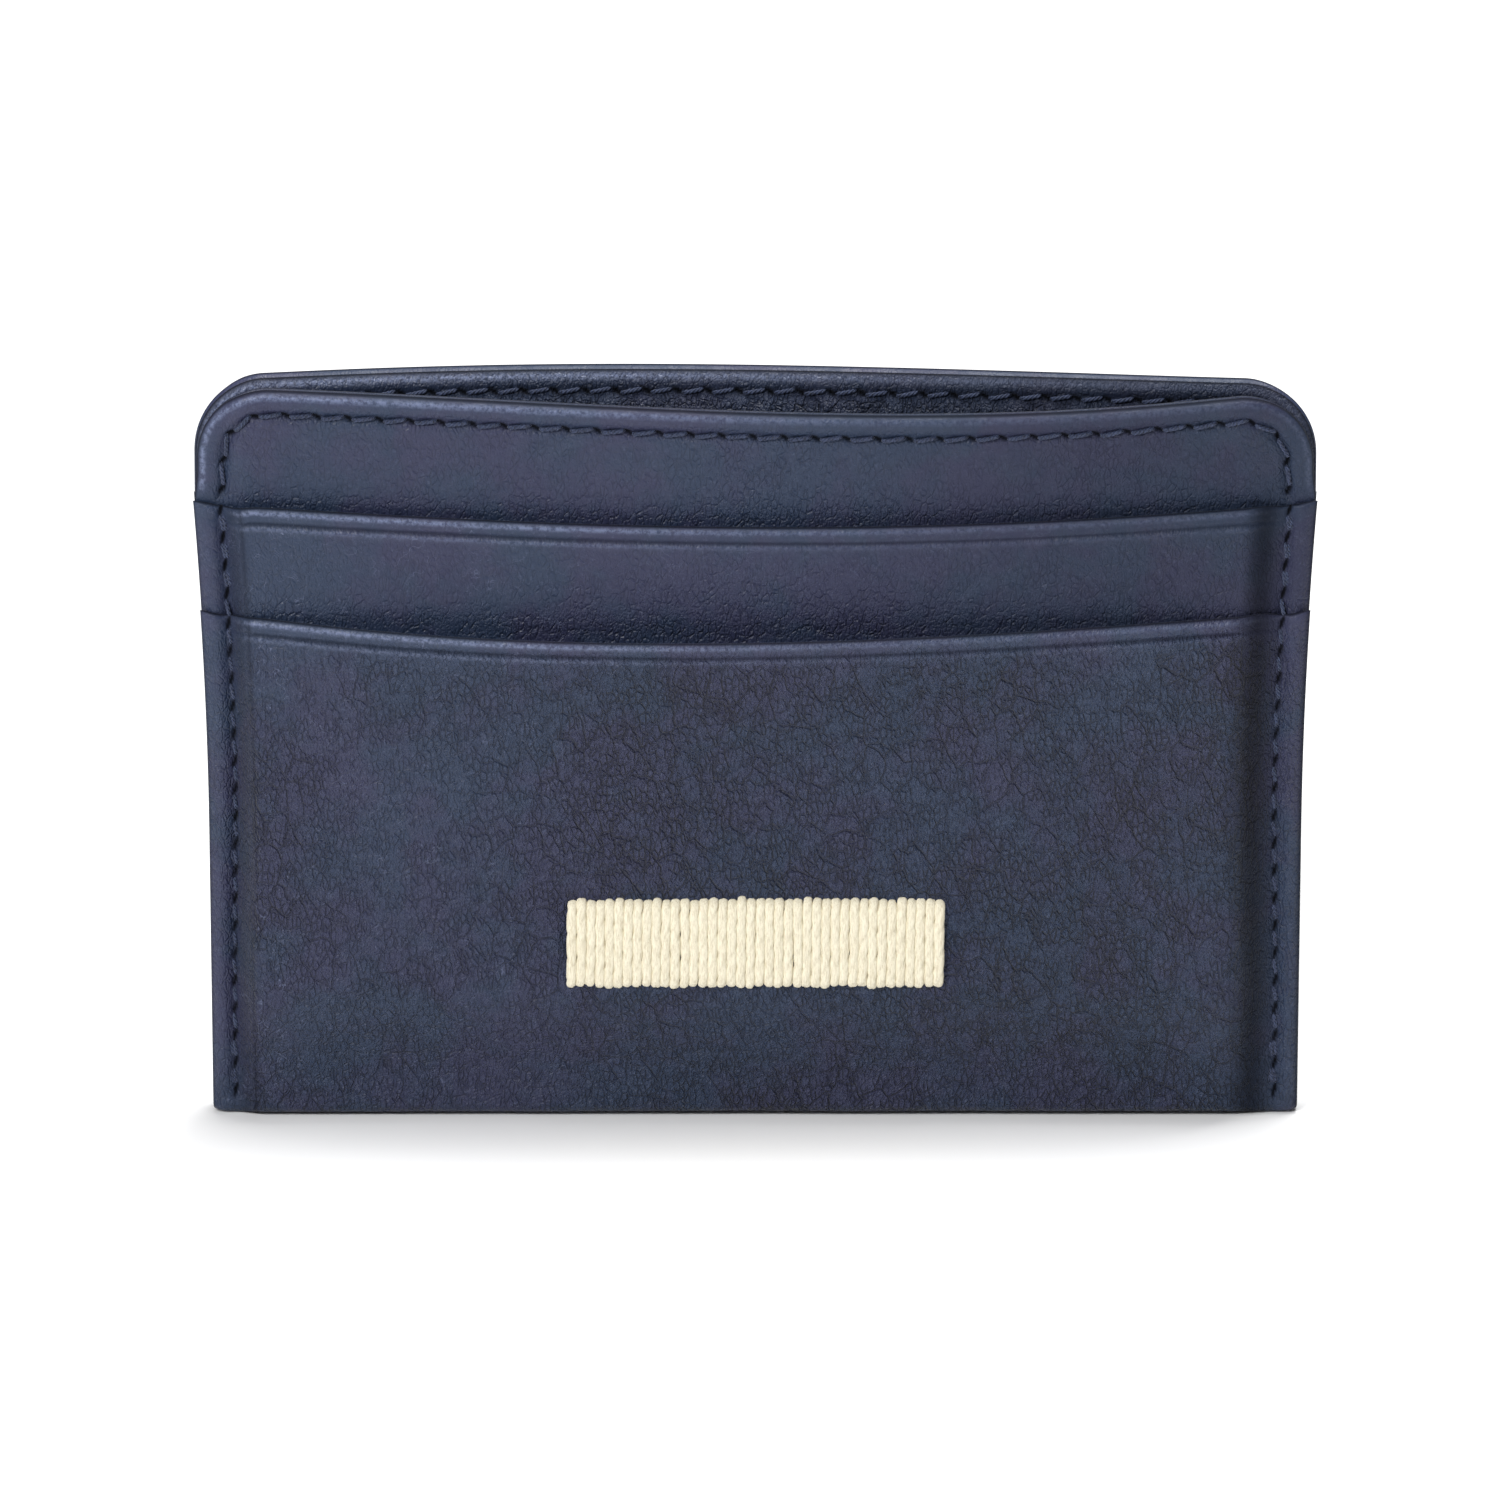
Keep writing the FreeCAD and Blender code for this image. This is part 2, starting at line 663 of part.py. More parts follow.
make_outer_leather()
make_front_pocket_backing()
make_panels()
make_upper_pocket("front_upper_pocket", FRONT)
make_upper_pocket("rear_upper_pocket", REAR)
make_flat_layers()
make_embroidery()
make_threads()
check_objects()
write_parts()
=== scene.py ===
"""The looks of a slim leather card holder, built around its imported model.

Lengths are in millimetres until a mesh is made. +Z is up and the front faces -Y. A layer's level is its
distance from the middle plane between the two walls, so one set of levels serves the front and the rear.
"""

import math

import bmesh
import bpy
import numpy as np
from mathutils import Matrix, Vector


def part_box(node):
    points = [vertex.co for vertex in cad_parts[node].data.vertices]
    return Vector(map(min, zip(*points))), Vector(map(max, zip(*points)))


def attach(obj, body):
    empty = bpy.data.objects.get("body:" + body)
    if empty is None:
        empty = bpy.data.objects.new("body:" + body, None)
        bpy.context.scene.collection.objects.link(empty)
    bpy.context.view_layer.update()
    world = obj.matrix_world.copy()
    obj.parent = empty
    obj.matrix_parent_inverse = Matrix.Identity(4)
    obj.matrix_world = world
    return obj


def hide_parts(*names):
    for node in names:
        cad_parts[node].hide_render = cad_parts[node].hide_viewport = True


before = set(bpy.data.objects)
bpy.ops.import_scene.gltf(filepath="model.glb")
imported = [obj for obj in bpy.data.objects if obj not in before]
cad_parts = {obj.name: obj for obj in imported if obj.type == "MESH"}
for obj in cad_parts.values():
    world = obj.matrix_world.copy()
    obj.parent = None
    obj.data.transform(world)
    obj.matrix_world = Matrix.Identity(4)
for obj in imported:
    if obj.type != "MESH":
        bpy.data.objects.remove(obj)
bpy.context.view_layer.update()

MM = 0.001
FRONT, REAR = -1, 1


# ---------------------------------------------------------------- sizes taken from the model


def low(node, axis):
    """The lowest coordinate of a model node along X, Y or Z."""
    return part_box(node)[0]["XYZ".index(axis)] / MM


def high(node, axis):
    """The highest coordinate of a model node along X, Y or Z."""
    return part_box(node)[1]["XYZ".index(axis)] / MM


HALF_TOP = high("front_panel", "X")
HEIGHT = high("front_panel", "Z")
REAR_RISE = high("rear_panel", "Z") - HEIGHT
WALL_BASE = low("front_panel", "Z")
UPPER_LIP = high("front_upper_pocket", "Z")
LOWER_LIP = high("outer_leather", "Z")
FOOT = low("front_upper_pocket", "Z")
PAD_HALF = high("front_wall_board", "X")

LOWER_OUT = high("outer_leather", "Y")
LIP_BOW = -low("outer_leather", "Y") - LOWER_OUT
UPPER_OUT = high("rear_upper_pocket", "Y")
LEATHER = UPPER_OUT - high("rear_upper_pocket_lining", "Y")
TEXTILE = high("rear_upper_pocket_lining", "Y") - low("rear_upper_pocket_lining", "Y")
BOARD = high("rear_wall_board", "Y") - low("rear_wall_board", "Y")
PANEL_OUT = high("rear_wall_board", "Y") + LEATHER

# ---------------------------------------------------------------- sizes of the details

LINING = 0.4  # lining leather
MARGIN = 2.4  # from a side edge to its row of stitches
MODEL_MARGIN = 2.7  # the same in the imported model
MOUTH_MARGIN = {FRONT: 2.2, REAR: 1.9}  # from a wall's mouth edge to its stitches
SEAM_DRIFT = 0.4  # how much nearer to the edge the side seams run at the base
PITCH = 2.8  # of the stitches
SIDE_PITCH = 2.67
THREAD_HALF = 0.2
HALF_BASE = low("right_side_seam_thread", "X") + THREAD_HALF + MODEL_MARGIN
FLARE_FROM = 28.0  # height where the side edges start to lean out, and the front lip to bow
CORNER = 6.6  # radius of the mouth corners
BASE_CORNER = 1.0
RAMP = {-1: 2.4, 1: 4.4}  # width of the slopes from the raised card area to the left and right seams
TURNED = 1.1  # thickness of a turned lip
MOUTH_THICK = 1.5  # of the turned leather at a wall's mouth
TURN_DEEP = 7.0  # how far the turned leather reaches back from an edge
CREASE_AT = 1.7  # from a lip down to its creased line
CREASE_DEEP = 0.2
CREASE_WIDE = 0.26
GLUE = 0.02
BASE_LEVEL = 2.5  # level of the outer leather at the base fold, where it is drawn in
BASE_DRAW = 14.0  # height over which it is drawn in
BASE_ARCH = 0.33  # how far the fold arches off the floor at mid-width
FOLD_RADIUS = 1.0
FOLD_TALL = 3.0
FOLD_STEPS = 4.0  # span of the fold in a sheet's running coordinate

# Pressed levels in the seam allowance.
PRESSED_PANEL = LINING + LEATHER
PRESSED_UPPER = PRESSED_PANEL + LEATHER
PRESSED_FOLD = PRESSED_PANEL + 0.65
PRESSED_LOWER = PRESSED_UPPER + LEATHER

LEAN = {FRONT: 0.8, REAR: 1.9}  # how far a wall's mouth corners stand out
BOW = {FRONT: 0.6, REAR: 1.2}  # further bow of its edge at mid-width
TILT = {FRONT: 0.5, REAR: -0.5}  # further lean at the right end, and as much less at the left
SKEW = {FRONT: 12.0, REAR: -8.0}  # how far right of mid-width the bow's summit lies
NARROWER = {FRONT: 0.35, REAR: 0.0}  # how far a wall's upper corners are drawn in
TALLER = {FRONT: (0.5, 0.0), REAR: (0.5, 0.3)}  # extra height at a wall's left and right corner
MOUTH_DIP = {FRONT: 1.9, REAR: -REAR_RISE}
UPPER_DIP, UPPER_SKEW = 2.0, 3.0
LOWER_DIP, LOWER_SKEW = 1.5, -7.0
OPEN_FROM = 58.0  # height where the walls start to open
LIP_ENDS = HALF_TOP - 3  # half-width over which a lip dips


# ---------------------------------------------------------------- shape functions


def smooth(t):
    """A soft step: 0 below 0, 1 above 1."""
    t = np.clip(t, 0.0, 1.0)
    return t * t * (3 - 2 * t)


def hump(t):
    """A bell, 1 at zero."""
    return np.exp(-t * t)


def share(x, half, skew=0.0):
    """1 at the summit, easing to 0 at half to either side; skew moves the summit sideways."""
    x = x - skew * np.clip(1 - (x / half) ** 2, 0, 1)
    return np.clip(1 - (x / half) ** 2, 0, 1) ** 1.1


def lattice_noise(x, z, size, seed):
    """Smooth noise of mean 0 and range about -1 to 1, with features of a size in millimetres."""
    lattice = np.random.default_rng(seed).uniform(-1, 1, (64, 64))
    gx, gz = np.asarray(x) / size, np.asarray(z) / size
    ix, iz = np.floor(gx).astype(int), np.floor(gz).astype(int)
    tx, tz = smooth(gx - ix), smooth(gz - iz)
    near = lattice[ix % 64, iz % 64] * (1 - tx) + lattice[(ix + 1) % 64, iz % 64] * tx
    far = lattice[ix % 64, (iz + 1) % 64] * (1 - tx) + lattice[(ix + 1) % 64, (iz + 1) % 64] * tx
    return near * (1 - tz) + far * tz


def edge_half(z):
    """Half-width of the holder at a height."""
    lean = np.clip((z - FLARE_FROM) / (UPPER_LIP - FLARE_FROM), 0, 1) ** 2
    return HALF_BASE + (HALF_TOP - HALF_BASE) * lean


def seam_half(z):
    """Distance of the side seams' stitches from the middle; their margin narrows towards the base."""
    return edge_half(z) - MARGIN + SEAM_DRIFT * smooth((HEIGHT / 2 - z) / FLARE_FROM)


def raised(x, z=0.0):
    """1 over the card area, easing to 0 at the side seams."""
    width = np.where(np.asarray(x) < 0, RAMP[-1], RAMP[1])
    return smooth((seam_half(z) + 0.1 - np.abs(x)) / width)


def between(x, z, pressed, full):
    """A level that goes from pressed at the seams to full over the card area."""
    return pressed + (full - pressed) * raised(x, z)


def opening(x, z, side):
    """How far a wall stands out as it rises to the mouth."""
    rise = np.clip((z - OPEN_FROM) / (HEIGHT - OPEN_FROM), 0, 1.1) ** 1.5
    bow = BOW[side] * share(x, HALF_TOP - 4, SKEW[side])
    return rise * (LEAN[side] + bow + TILT[side] * x / HALF_TOP)


def panel_level(x, z, side):
    """Outer face of a wall."""
    return between(x, z, PRESSED_PANEL, PANEL_OUT) + opening(x, z, side)


def turned_share(x, z, edge):
    """1 where a wall's leather is turned over at the mouth, less in the pressed seam allowance."""
    near_top = smooth((z - HEIGHT + TURN_DEEP) / 4)
    return smooth((TURN_DEEP - edge) / 1.5) * near_top * (0.4 + 0.6 * raised(x, z))


def panel_thickness(x, z, edge):
    """Thickness of a wall's leather, with its turned part at the mouth."""
    return LEATHER + (MOUTH_THICK - LEATHER) * turned_share(x, z, edge)


def margin_near(x, z, side):
    """Distance from a wall's edge to its stitches, which changes round the mouth corners."""
    beyond = np.maximum(np.abs(x) - (HALF_TOP - CORNER), 0)
    above = np.maximum(z - (HEIGHT - CORNER), 0)
    top_share = above**2 / (above**2 + beyond**2 + 0.001)
    return MARGIN + (MOUTH_MARGIN[side] - MARGIN) * top_share


def lining_level(x, z, side, edge):
    """Face of a wall's lining towards the middle pocket."""
    board = BOARD * raised(x, z) * (1 - turned_share(x, z, edge))
    return panel_level(x, z, side) - panel_thickness(x, z, edge) - board - LINING - GLUE


def lip_notch(x):
    """How a lip is drawn down where the side seams hold it."""
    return -0.5 * hump((np.abs(x) - HALF_TOP + MARGIN + 0.4) / 1.7)


def upper_lip(x):
    """Height of the upper pockets' lip."""
    return UPPER_LIP - UPPER_DIP * share(x, LIP_ENDS, UPPER_SKEW) + lip_notch(x)


def lower_lip(x, side):
    """Height of a lower pocket's lip."""
    return LOWER_LIP - LOWER_DIP * share(x, LIP_ENDS, LOWER_SKEW if side == FRONT else 0) + lip_notch(x)


def upper_level(x, z):
    """Outer face of an upper pocket, from its sewn foot to its lip."""
    skive = smooth((z - FLARE_FROM) / (LOWER_LIP - FLARE_FROM))
    pressed = PRESSED_PANEL + 0.05 + (LEATHER - 0.05) * skive
    foot = PANEL_OUT + LEATHER
    full = foot + (UPPER_OUT - foot) * smooth((z - FOOT - 2) / 2.5)
    slack = 0.25 * share(x, PAD_HALF) * smooth((z - 40) / 20)
    return between(x, z, pressed, full) + slack


def lower_level(x, z, side):
    """Outer face of the outer leather above the base fold."""
    climb = np.clip((z - FLARE_FROM) / (LOWER_LIP - FLARE_FROM), 0, 1.2)
    pressed = PRESSED_FOLD + (PRESSED_LOWER - PRESSED_FOLD) * climb
    full = BASE_LEVEL + (LOWER_OUT - BASE_LEVEL) * smooth((z - FOLD_TALL) / (BASE_DRAW - FOLD_TALL))
    if side == REAR:
        return between(x, z, pressed, full)
    out = share(x, LIP_ENDS, LOWER_SKEW)
    # The seams hold the lip's ends in; at mid-width it stands well away from the wall.
    return between(x, z, pressed, full - 1.3 * (1 - out) * climb**2) + LIP_BOW * climb**2 * out


def outermost(x, z, side):
    """Level of whichever leather is in view at a point of the front or rear."""
    upper = np.where(z < upper_lip(x), upper_level(x, z), panel_level(x, z, side))
    return np.where(z < lower_lip(x, side), lower_level(x, z, side), upper)


def leather_swell(x, z, seed):
    """The soft unevenness of leather, in millimetres."""
    wide = 0.035 * lattice_noise(x, z, 9.0, seed) + 0.018 * lattice_noise(x, z, 3.4, seed + 1)
    return wide + 0.009 * lattice_noise(x, z * 0.7, 0.9, seed + 2)


def crease(drop, x):
    """The line creased below a lip and its swollen lower shoulder; drop is the distance from the lip."""
    ends = raised(x, UPPER_LIP)
    line = -CREASE_DEEP * hump((drop - CREASE_AT + 0.25) / CREASE_WIDE)
    shoulder = 0.09 * hump((drop - CREASE_AT - 0.2) / 0.3)
    fading = 0.75 + 0.25 * np.cos(x / 13 + 2.3)
    return (line + shoulder) * ends * fading


# ---------------------------------------------------------------- seams

MOUTH_SLIT = math.radians(28)  # between a needle slit and its row
SIDE_SLIT = math.radians(14)
SLIT_HALF = 0.55  # half the length of a slit
SIDE_SLIT_HALF = 0.72
VALLEY = 0.26  # how deep the stitches pull the leather in
SWELL = 0.34  # how far the leather swells between a side seam and the edge
EDGE_FALL = 0.3  # how far it falls away at the edge itself
PIT_DEEP = 0.22  # further depth at a needle slit
SIDE_SINK = 0.3  # how far the side threads lie below the leather's level
MOUTH_SINK = 0.1  # the same for the mouth threads


def points(*coordinates):
    """Points, or directions, from the lists of their coordinates."""
    return np.stack(coordinates, axis=1)


def lengths(ways):
    """The length of each direction."""
    return np.linalg.norm(ways, axis=1)


def unit(ways):
    """Directions of length 1."""
    return ways / lengths(ways)[:, None]


def run_of(line):
    """Distance along a polyline at each of its points."""
    return np.concatenate([[0], np.cumsum(lengths(np.diff(line, axis=0)))])


def at_runs(places, run, line):
    """Values of a polyline at some distances along it, from those at its points."""
    return points(*(np.interp(places, run, line[:, k]) for k in (0, 1)))


def along(line, pitch):
    """Evenly spaced places along a polyline, with the direction of the row at each."""
    run = run_of(line)
    count = round(run[-1] / pitch)
    holes = at_runs(np.linspace(0, run[-1], count + 1), run, line)
    return holes, unit(np.gradient(holes, axis=0))


def side_seam(hand):
    """Needle holes of a side seam, from the base up to the upper lip."""
    z = np.linspace(MARGIN, UPPER_LIP - 0.8, 60)
    return along(points(hand * seam_half(z), z), SIDE_PITCH)


def mouth_seam(side):
    """Needle holes along a wall's mouth, from one side seam round to the other."""
    outline, inward = wall_outline(side)
    line = outline + inward * margin_near(*outline.T, side)[:, None]
    line = line[line[:, 1] > UPPER_LIP + 0.9]
    return along(line[np.argsort(-np.arctan2(line[:, 1] - UPPER_LIP + 20, line[:, 0]))], PITCH)


def slit_ways(row, turn):
    """The direction of each needle slit, turned from its row."""
    c, s = math.cos(turn), math.sin(turn)
    return points(row[:, 0] * c + row[:, 1] * s, row[:, 1] * c - row[:, 0] * s)


def needle_pits(x, z, seam, turn=MOUTH_SLIT, half=SLIT_HALF, wide=0.22):
    """Depth of the pits around needle slits, 0 to 1."""
    holes, row = seam
    depth = np.zeros_like(x)
    for (hx, hz), (wx, wz) in zip(holes, slit_ways(row, turn)):
        near = (np.abs(x - hx) < 1.5) & (np.abs(z - hz) < 1.5)
        dx, dz = x[near] - hx, z[near] - hz
        lengthwise, across = dx * wx + dz * wz, dz * wx - dx * wz
        depth[near] = np.maximum(depth[near], hump(lengthwise / half) * hump(across / wide))
    return depth


def side_pits(x, z):
    """The longer, narrower pits of the two side seams."""
    pits = [needle_pits(x, z, side_seam(hand), SIDE_SLIT, SIDE_SLIT_HALF, 0.18) for hand in (-1, 1)]
    return np.maximum(*pits)


# ---------------------------------------------------------------- patches of mesh in the plane of a sheet


def spread(start, stop, count, *focuses):
    """count + 1 places from start to stop, crowded around each (place, width, strength)."""
    fine = np.linspace(start, stop, 6000)
    weight = 1 + sum(k * hump((fine - p) / w) for p, w, k in focuses)
    total = np.concatenate([[0], np.cumsum((weight[1:] + weight[:-1]) / 2)])
    return np.interp(np.linspace(0, total[-1], count + 1), total, fine)


def grid_quads(index):
    """Quads over a two-dimensional array of vertex numbers."""
    corners = [index[:-1, :-1], index[1:, :-1], index[1:, 1:], index[:-1, 1:]]
    return np.stack(corners, axis=-1).reshape(-1, 4)


def border(index):
    """The vertex numbers round the edge of a grid, in order."""
    return np.concatenate([index[:-1, 0], index[-1, :-1], index[:0:-1, -1], index[0, :0:-1]])


def grid_patch(xs, zs):
    """A rectangular patch: (x, z) of each vertex, quads and the loop round the edge."""
    x, z = np.meshgrid(xs, zs, indexing="ij")
    index = np.arange(x.size).reshape(x.shape)
    return points(x.ravel(), z.ravel()), grid_quads(index), border(index)


def ring_patch(sides, inward, offsets, width):
    """Rings that follow an outline, and a grid that fills them.

    sides holds the loop and its numbers of steps wide and tall; width scales the rings at each place.
    """
    loop, counts = sides
    total = len(loop)
    rings = [loop + inward * (offset * width)[:, None] for offset in offsets]
    places = np.concatenate(rings)
    index = np.arange(total * len(offsets)).reshape(len(offsets), total)
    closed = np.concatenate([index, index[:, :1]], axis=1)
    quads = [grid_quads(closed)]
    inner, inner_index = rings[-1], index[-1]
    wide, tall = counts
    around = np.arange(total)
    bottom = around[: wide + 1]
    right = around[wide : wide + tall + 1]
    top = around[wide + tall : 2 * wide + tall + 1][::-1]
    left = np.append(around[2 * wide + tall :], 0)[::-1]
    u, v = run_share(inner[bottom])[:, None, None], run_share(inner[left])[None, :, None]
    b, t = inner[bottom][:, None, :], inner[top][:, None, :]
    l, r = inner[left][None, :, :], inner[right][None, :, :]
    fill = (1 - v) * b + v * t + (1 - u) * l + u * r
    fill -= (1 - u) * (1 - v) * b[:1] + u * (1 - v) * b[-1:] + (1 - u) * v * t[:1] + u * v * t[-1:]
    grid = np.zeros((wide + 1, tall + 1), int)
    grid[1:-1, 1:-1] = len(places) + np.arange((wide - 1) * (tall - 1)).reshape(wide - 1, tall - 1)
    grid[:, 0], grid[:, -1] = inner_index[bottom], inner_index[top]
    grid[0, :], grid[-1, :] = inner_index[left], inner_index[right]
    places = np.concatenate([places, fill[1:-1, 1:-1].reshape(-1, 2)])
    quads.append(grid_quads(grid))
    edge = np.full(len(places), offsets[-1] * 1.2)
    edge[: index.size] = np.outer(offsets, width).ravel()
    return places, np.concatenate(quads), index[0], edge


def run_share(line):
    """Share of a polyline's length at each of its points."""
    run = run_of(line)
    return run / run[-1]


def zip_loops(long_loop, short_loop):
    """Faces between a loop and one with half as many vertices."""
    faces = []
    count = len(short_loop)
    for k in range(count):
        a, b, c = long_loop[2 * k], long_loop[2 * k + 1], long_loop[(2 * k + 2) % len(long_loop)]
        near, far = short_loop[k], short_loop[(k + 1) % count]
        faces += [(a, near, b), (b, near, far, c)]
    return faces


# ---------------------------------------------------------------- meshes


def make_piece(name, vertices, faces, material, slot, nodes, marks=None):
    """A smooth piece in metres that rides on the holder and stands for some model nodes."""
    mesh = bpy.data.meshes.new(name)
    mesh.from_pydata((np.asarray(vertices) * MM).tolist(), [], [list(map(int, f)) for f in faces])
    mesh.validate()
    for label, values in (marks or {}).items():
        layer = mesh.attributes.new(label, "FLOAT", "POINT")
        rest = np.zeros(len(vertices) - len(values))
        layer.data.foreach_set("value", np.concatenate([values, rest]).astype(np.float32))
    piece = bpy.data.objects.new(name, mesh)
    bpy.context.scene.collection.objects.link(piece)
    mesh.shade_smooth()
    face_outwards(mesh)
    mesh.materials.append(material)
    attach(piece, "root")
    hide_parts(*nodes)
    return piece


def face_outwards(mesh):
    """Turns every face of closed shells outwards."""
    shell = bmesh.new()
    shell.from_mesh(mesh)
    bmesh.ops.recalc_face_normals(shell, faces=shell.faces)
    shell.to_mesh(mesh)
    shell.free()


def rounded(edge, radius, power=2.0):
    """Share of the full half-thickness near an edge, 0 on the edge itself."""
    t = 1 - np.clip(edge / radius, 0, 1)
    return (1 - t**power) ** (1 / power)


def join_faces(face, back, face_patch, back_patch):
    """Vertices and faces of the closed sheet made from a detailed face and a coarser back."""
    count = len(face)
    faces = face_patch[1].tolist() + (back_patch[1][:, ::-1] + count).tolist()
    faces += zip_loops(face_patch[2], back_patch[2] + count)
    return np.concatenate([face, back]), faces


# ---------------------------------------------------------------- walls of the middle pocket


def wall_outline(side, inset=0.0):
    """A wall's outline as a dense loop from the lower left, with the inward direction at each point."""
    half, top = HALF_TOP - inset - NARROWER[side], HEIGHT - inset
    corner = CORNER - inset
    angles = np.linspace(0, math.pi / 2, 40)
    z = np.linspace(WALL_BASE + BASE_CORNER, top - corner, 400)
    x = np.linspace(half - corner, -(half - corner), 600)
    side_x = edge_half(z) - inset - NARROWER[side] * smooth((z - UPPER_LIP + 1) / 4)
    dip = MOUTH_DIP[side] * share(x, half - corner, SKEW[side])
    foot = edge_half(WALL_BASE) - inset - BASE_CORNER
    bend = WALL_BASE + BASE_CORNER
    heel = foot + BASE_CORNER * np.sin(angles[::2]), bend - BASE_CORNER * np.cos(angles[::2])
    arc = half - corner + corner * np.cos(angles), top - corner + corner * np.sin(angles)
    base = points(np.linspace(-foot, foot, 200), np.full(200, WALL_BASE))
    mouth = points(x, top - dip)
    right = [points(*run) for run in (heel, (side_x, z), arc)]
    left = [run[::-1] * (-1, 1) for run in reversed(right)]
    runs = [base, *right, mouth, *left]
    loop = np.concatenate(runs)
    tall_left, tall_right = TALLER[side]
    extra = tall_left + (tall_right - tall_left) * (loop[:, 0] / HALF_TOP + 1) / 2
    loop[:, 1] += extra * smooth((loop[:, 1] - UPPER_LIP) / 6)
    loop = loop[lengths(loop - np.roll(loop, 1, axis=0)) > 1e-4]
    way = unit(np.roll(loop, -3, axis=0) - np.roll(loop, 3, axis=0))
    return loop, points(-way[:, 1], way[:, 0])


EDGE_RINGS = [0, 0.02, 0.08, 0.18, 0.3, 0.46, 0.66, 0.9, 1.15]
SEAM_RINGS = [-0.65, -0.42, -0.26, -0.13, 0, 0.13, 0.26, 0.42, 0.62, 0.9]  # either side of the stitches
BACK_RINGS = [0.05, 0.2, 0.45, 1.0, 3.0]


def wall_patches(side, inset):
    """The detailed and the coarse patch of one wall layer."""
    loop, inward = wall_outline(side, inset)
    run = run_of(loop)
    length = run[-1] + np.linalg.norm(loop[0] - loop[-1])

    def place_of(x, z):
        """Where along the outline a point lies."""
        return run[np.argmin(np.hypot(loop[:, 0] - x, loop[:, 1] - z))]

    half = edge_half(WALL_BASE) - inset
    diagonal = (CORNER - inset) * math.sqrt(0.5)
    corner_x, corner_z = HALF_TOP - CORNER + diagonal, HEIGHT - CORNER + diagonal
    start = place_of(-half, WALL_BASE)
    if start > length / 2:
        start -= length
    marks = [start, place_of(half, WALL_BASE), place_of(corner_x, corner_z)]
    marks += [place_of(-corner_x, corner_z), start + length]
    wide, tall = 360, 110
    bottom = np.linspace(marks[0], marks[1], wide + 1)
    right = spread(marks[1], marks[2], tall, (marks[2], 12.0, 5.0))
    top = np.linspace(marks[2], marks[3], wide + 1)
    left = spread(marks[3], marks[4], tall, (marks[3], 12.0, 5.0))
    places = np.concatenate([side_run[:-1] for side_run in (bottom, right, top, left)]) % length
    closed_run = np.append(run, length)
    outline = at_runs(places, closed_run, np.concatenate([loop, loop[:1]]))
    normals = at_runs(places, closed_run, np.concatenate([inward, inward[:1]]))
    width = 0.25 + 0.75 * smooth((outline[:, 1] - 5) / 6)
    rings = np.array(EDGE_RINGS + [MOUTH_MARGIN[side] + ring for ring in SEAM_RINGS])
    fine = ring_patch((outline, (wide, tall)), normals, rings, width)
    half_sides = outline[::2], (wide // 2, tall // 2)
    coarse = ring_patch(half_sides, normals[::2], np.array(BACK_RINGS), width[::2])
    return fine, coarse


def rim_swell(inside_seam, z):
    """The soft roll between a mouth edge and its stitches, and the valley that the stitches pull."""
    seen = smooth((z - UPPER_LIP + 1) / 2)
    roll = 0.16 * hump((inside_seam + 1.1) / 0.7)
    return (roll - VALLEY * hump(inside_seam / 0.45)) * seen


def make_wall_layer(name, node, side, material, slot, lining):
    """The leather of one wall, or its lining, whose detailed face looks into the middle pocket."""
    fine, coarse = wall_patches(side, 0.12 if lining else 0.0)
    seam = mouth_seam(side)
    seed = 40 + 7 * side + (3 if lining else 0)

    def levels(x, z, edge):
        """Level of the layer's middle, and half its thickness."""
        thick = np.full_like(x, LINING) if lining else panel_thickness(x, z, edge)
        inner = lining_level(x, z, side, edge) if lining else panel_level(x, z, side) - thick
        return inner + thick / 2, thick / 2

    facing = -1 if lining else 1
    (x, z), edge = fine[0].T, fine[3]
    middle, half = levels(x, z, edge)
    pits = needle_pits(x, z, seam)
    soft = rounded(edge, 1.0)
    inside_seam = edge - margin_near(x, z, side)
    relief = (leather_swell(x, z, seed) + rim_swell(inside_seam, z)) * soft
    relief = relief - PIT_DEEP * pits * (0.4 if lining else 1.0)
    full = rounded(edge, 0.32 if lining else 0.55)
    face = points(x, side * (middle + facing * (half * full + relief)), z)
    (bx, bz), bedge = coarse[0].T, coarse[3]
    middle, half = levels(bx, bz, bedge)
    back = points(bx, side * (middle - facing * half * rounded(bedge, half)), bz)
    vertices, faces = join_faces(face, back, fine, coarse)
    high_up = smooth((z - UPPER_LIP) / 2)
    grain = grain_strength(x, z, seed) * (1.0 if lining else 0.45)
    # Dark marks: painted shade in the needle holes and in the valley that the stitches pull, the darkened
    # mouth edge, and painted shade towards the right.
    dark_edge_and_valley_shade = np.maximum(0.85 * hump(edge / 0.16), 0.12 * hump(inside_seam / 0.3) * high_up)
    marks = {
        "dark": np.maximum.reduce([smooth(1.6 * pits), dark_edge_and_valley_shade, deeper(x)]),
        # Painted highlight on the rounded mouth edge, strongest on the left, with some real rubbing.
        "worn": hump((edge - 0.5) / 0.25) * high_up * wear_and_highlight(x),
        "grain": grain * (1 - 0.6 * hump(edge / 1.8)) + crush(z - upper_lip(x)),
    }
    return make_piece(name, vertices, faces, material, slot, [node], marks)


# ---------------------------------------------------------------- pockets


def sheet_rows(lip, low_z, count, *focuses):
    """Nominal heights of a pocket's rows, from its lower edge to its lip."""
    return spread(low_z, lip, count, (lip, 0.45, 9.0), (lip - CREASE_AT, 0.7, 4.0), *focuses)


def sheet_columns(count):
    """Nominal distances across, crowded at the side edges, the seams and the slopes."""
    focuses = []
    for hand in (-1, 1):
        focuses += [(hand * HALF_BASE, 0.3, 9.0), (hand * (HALF_BASE - MARGIN), 0.7, 3.0)]
        focuses.append((hand * (PAD_HALF + 1), 2.0, 0.8))
    return spread(-HALF_BASE, HALF_BASE, count, *focuses)


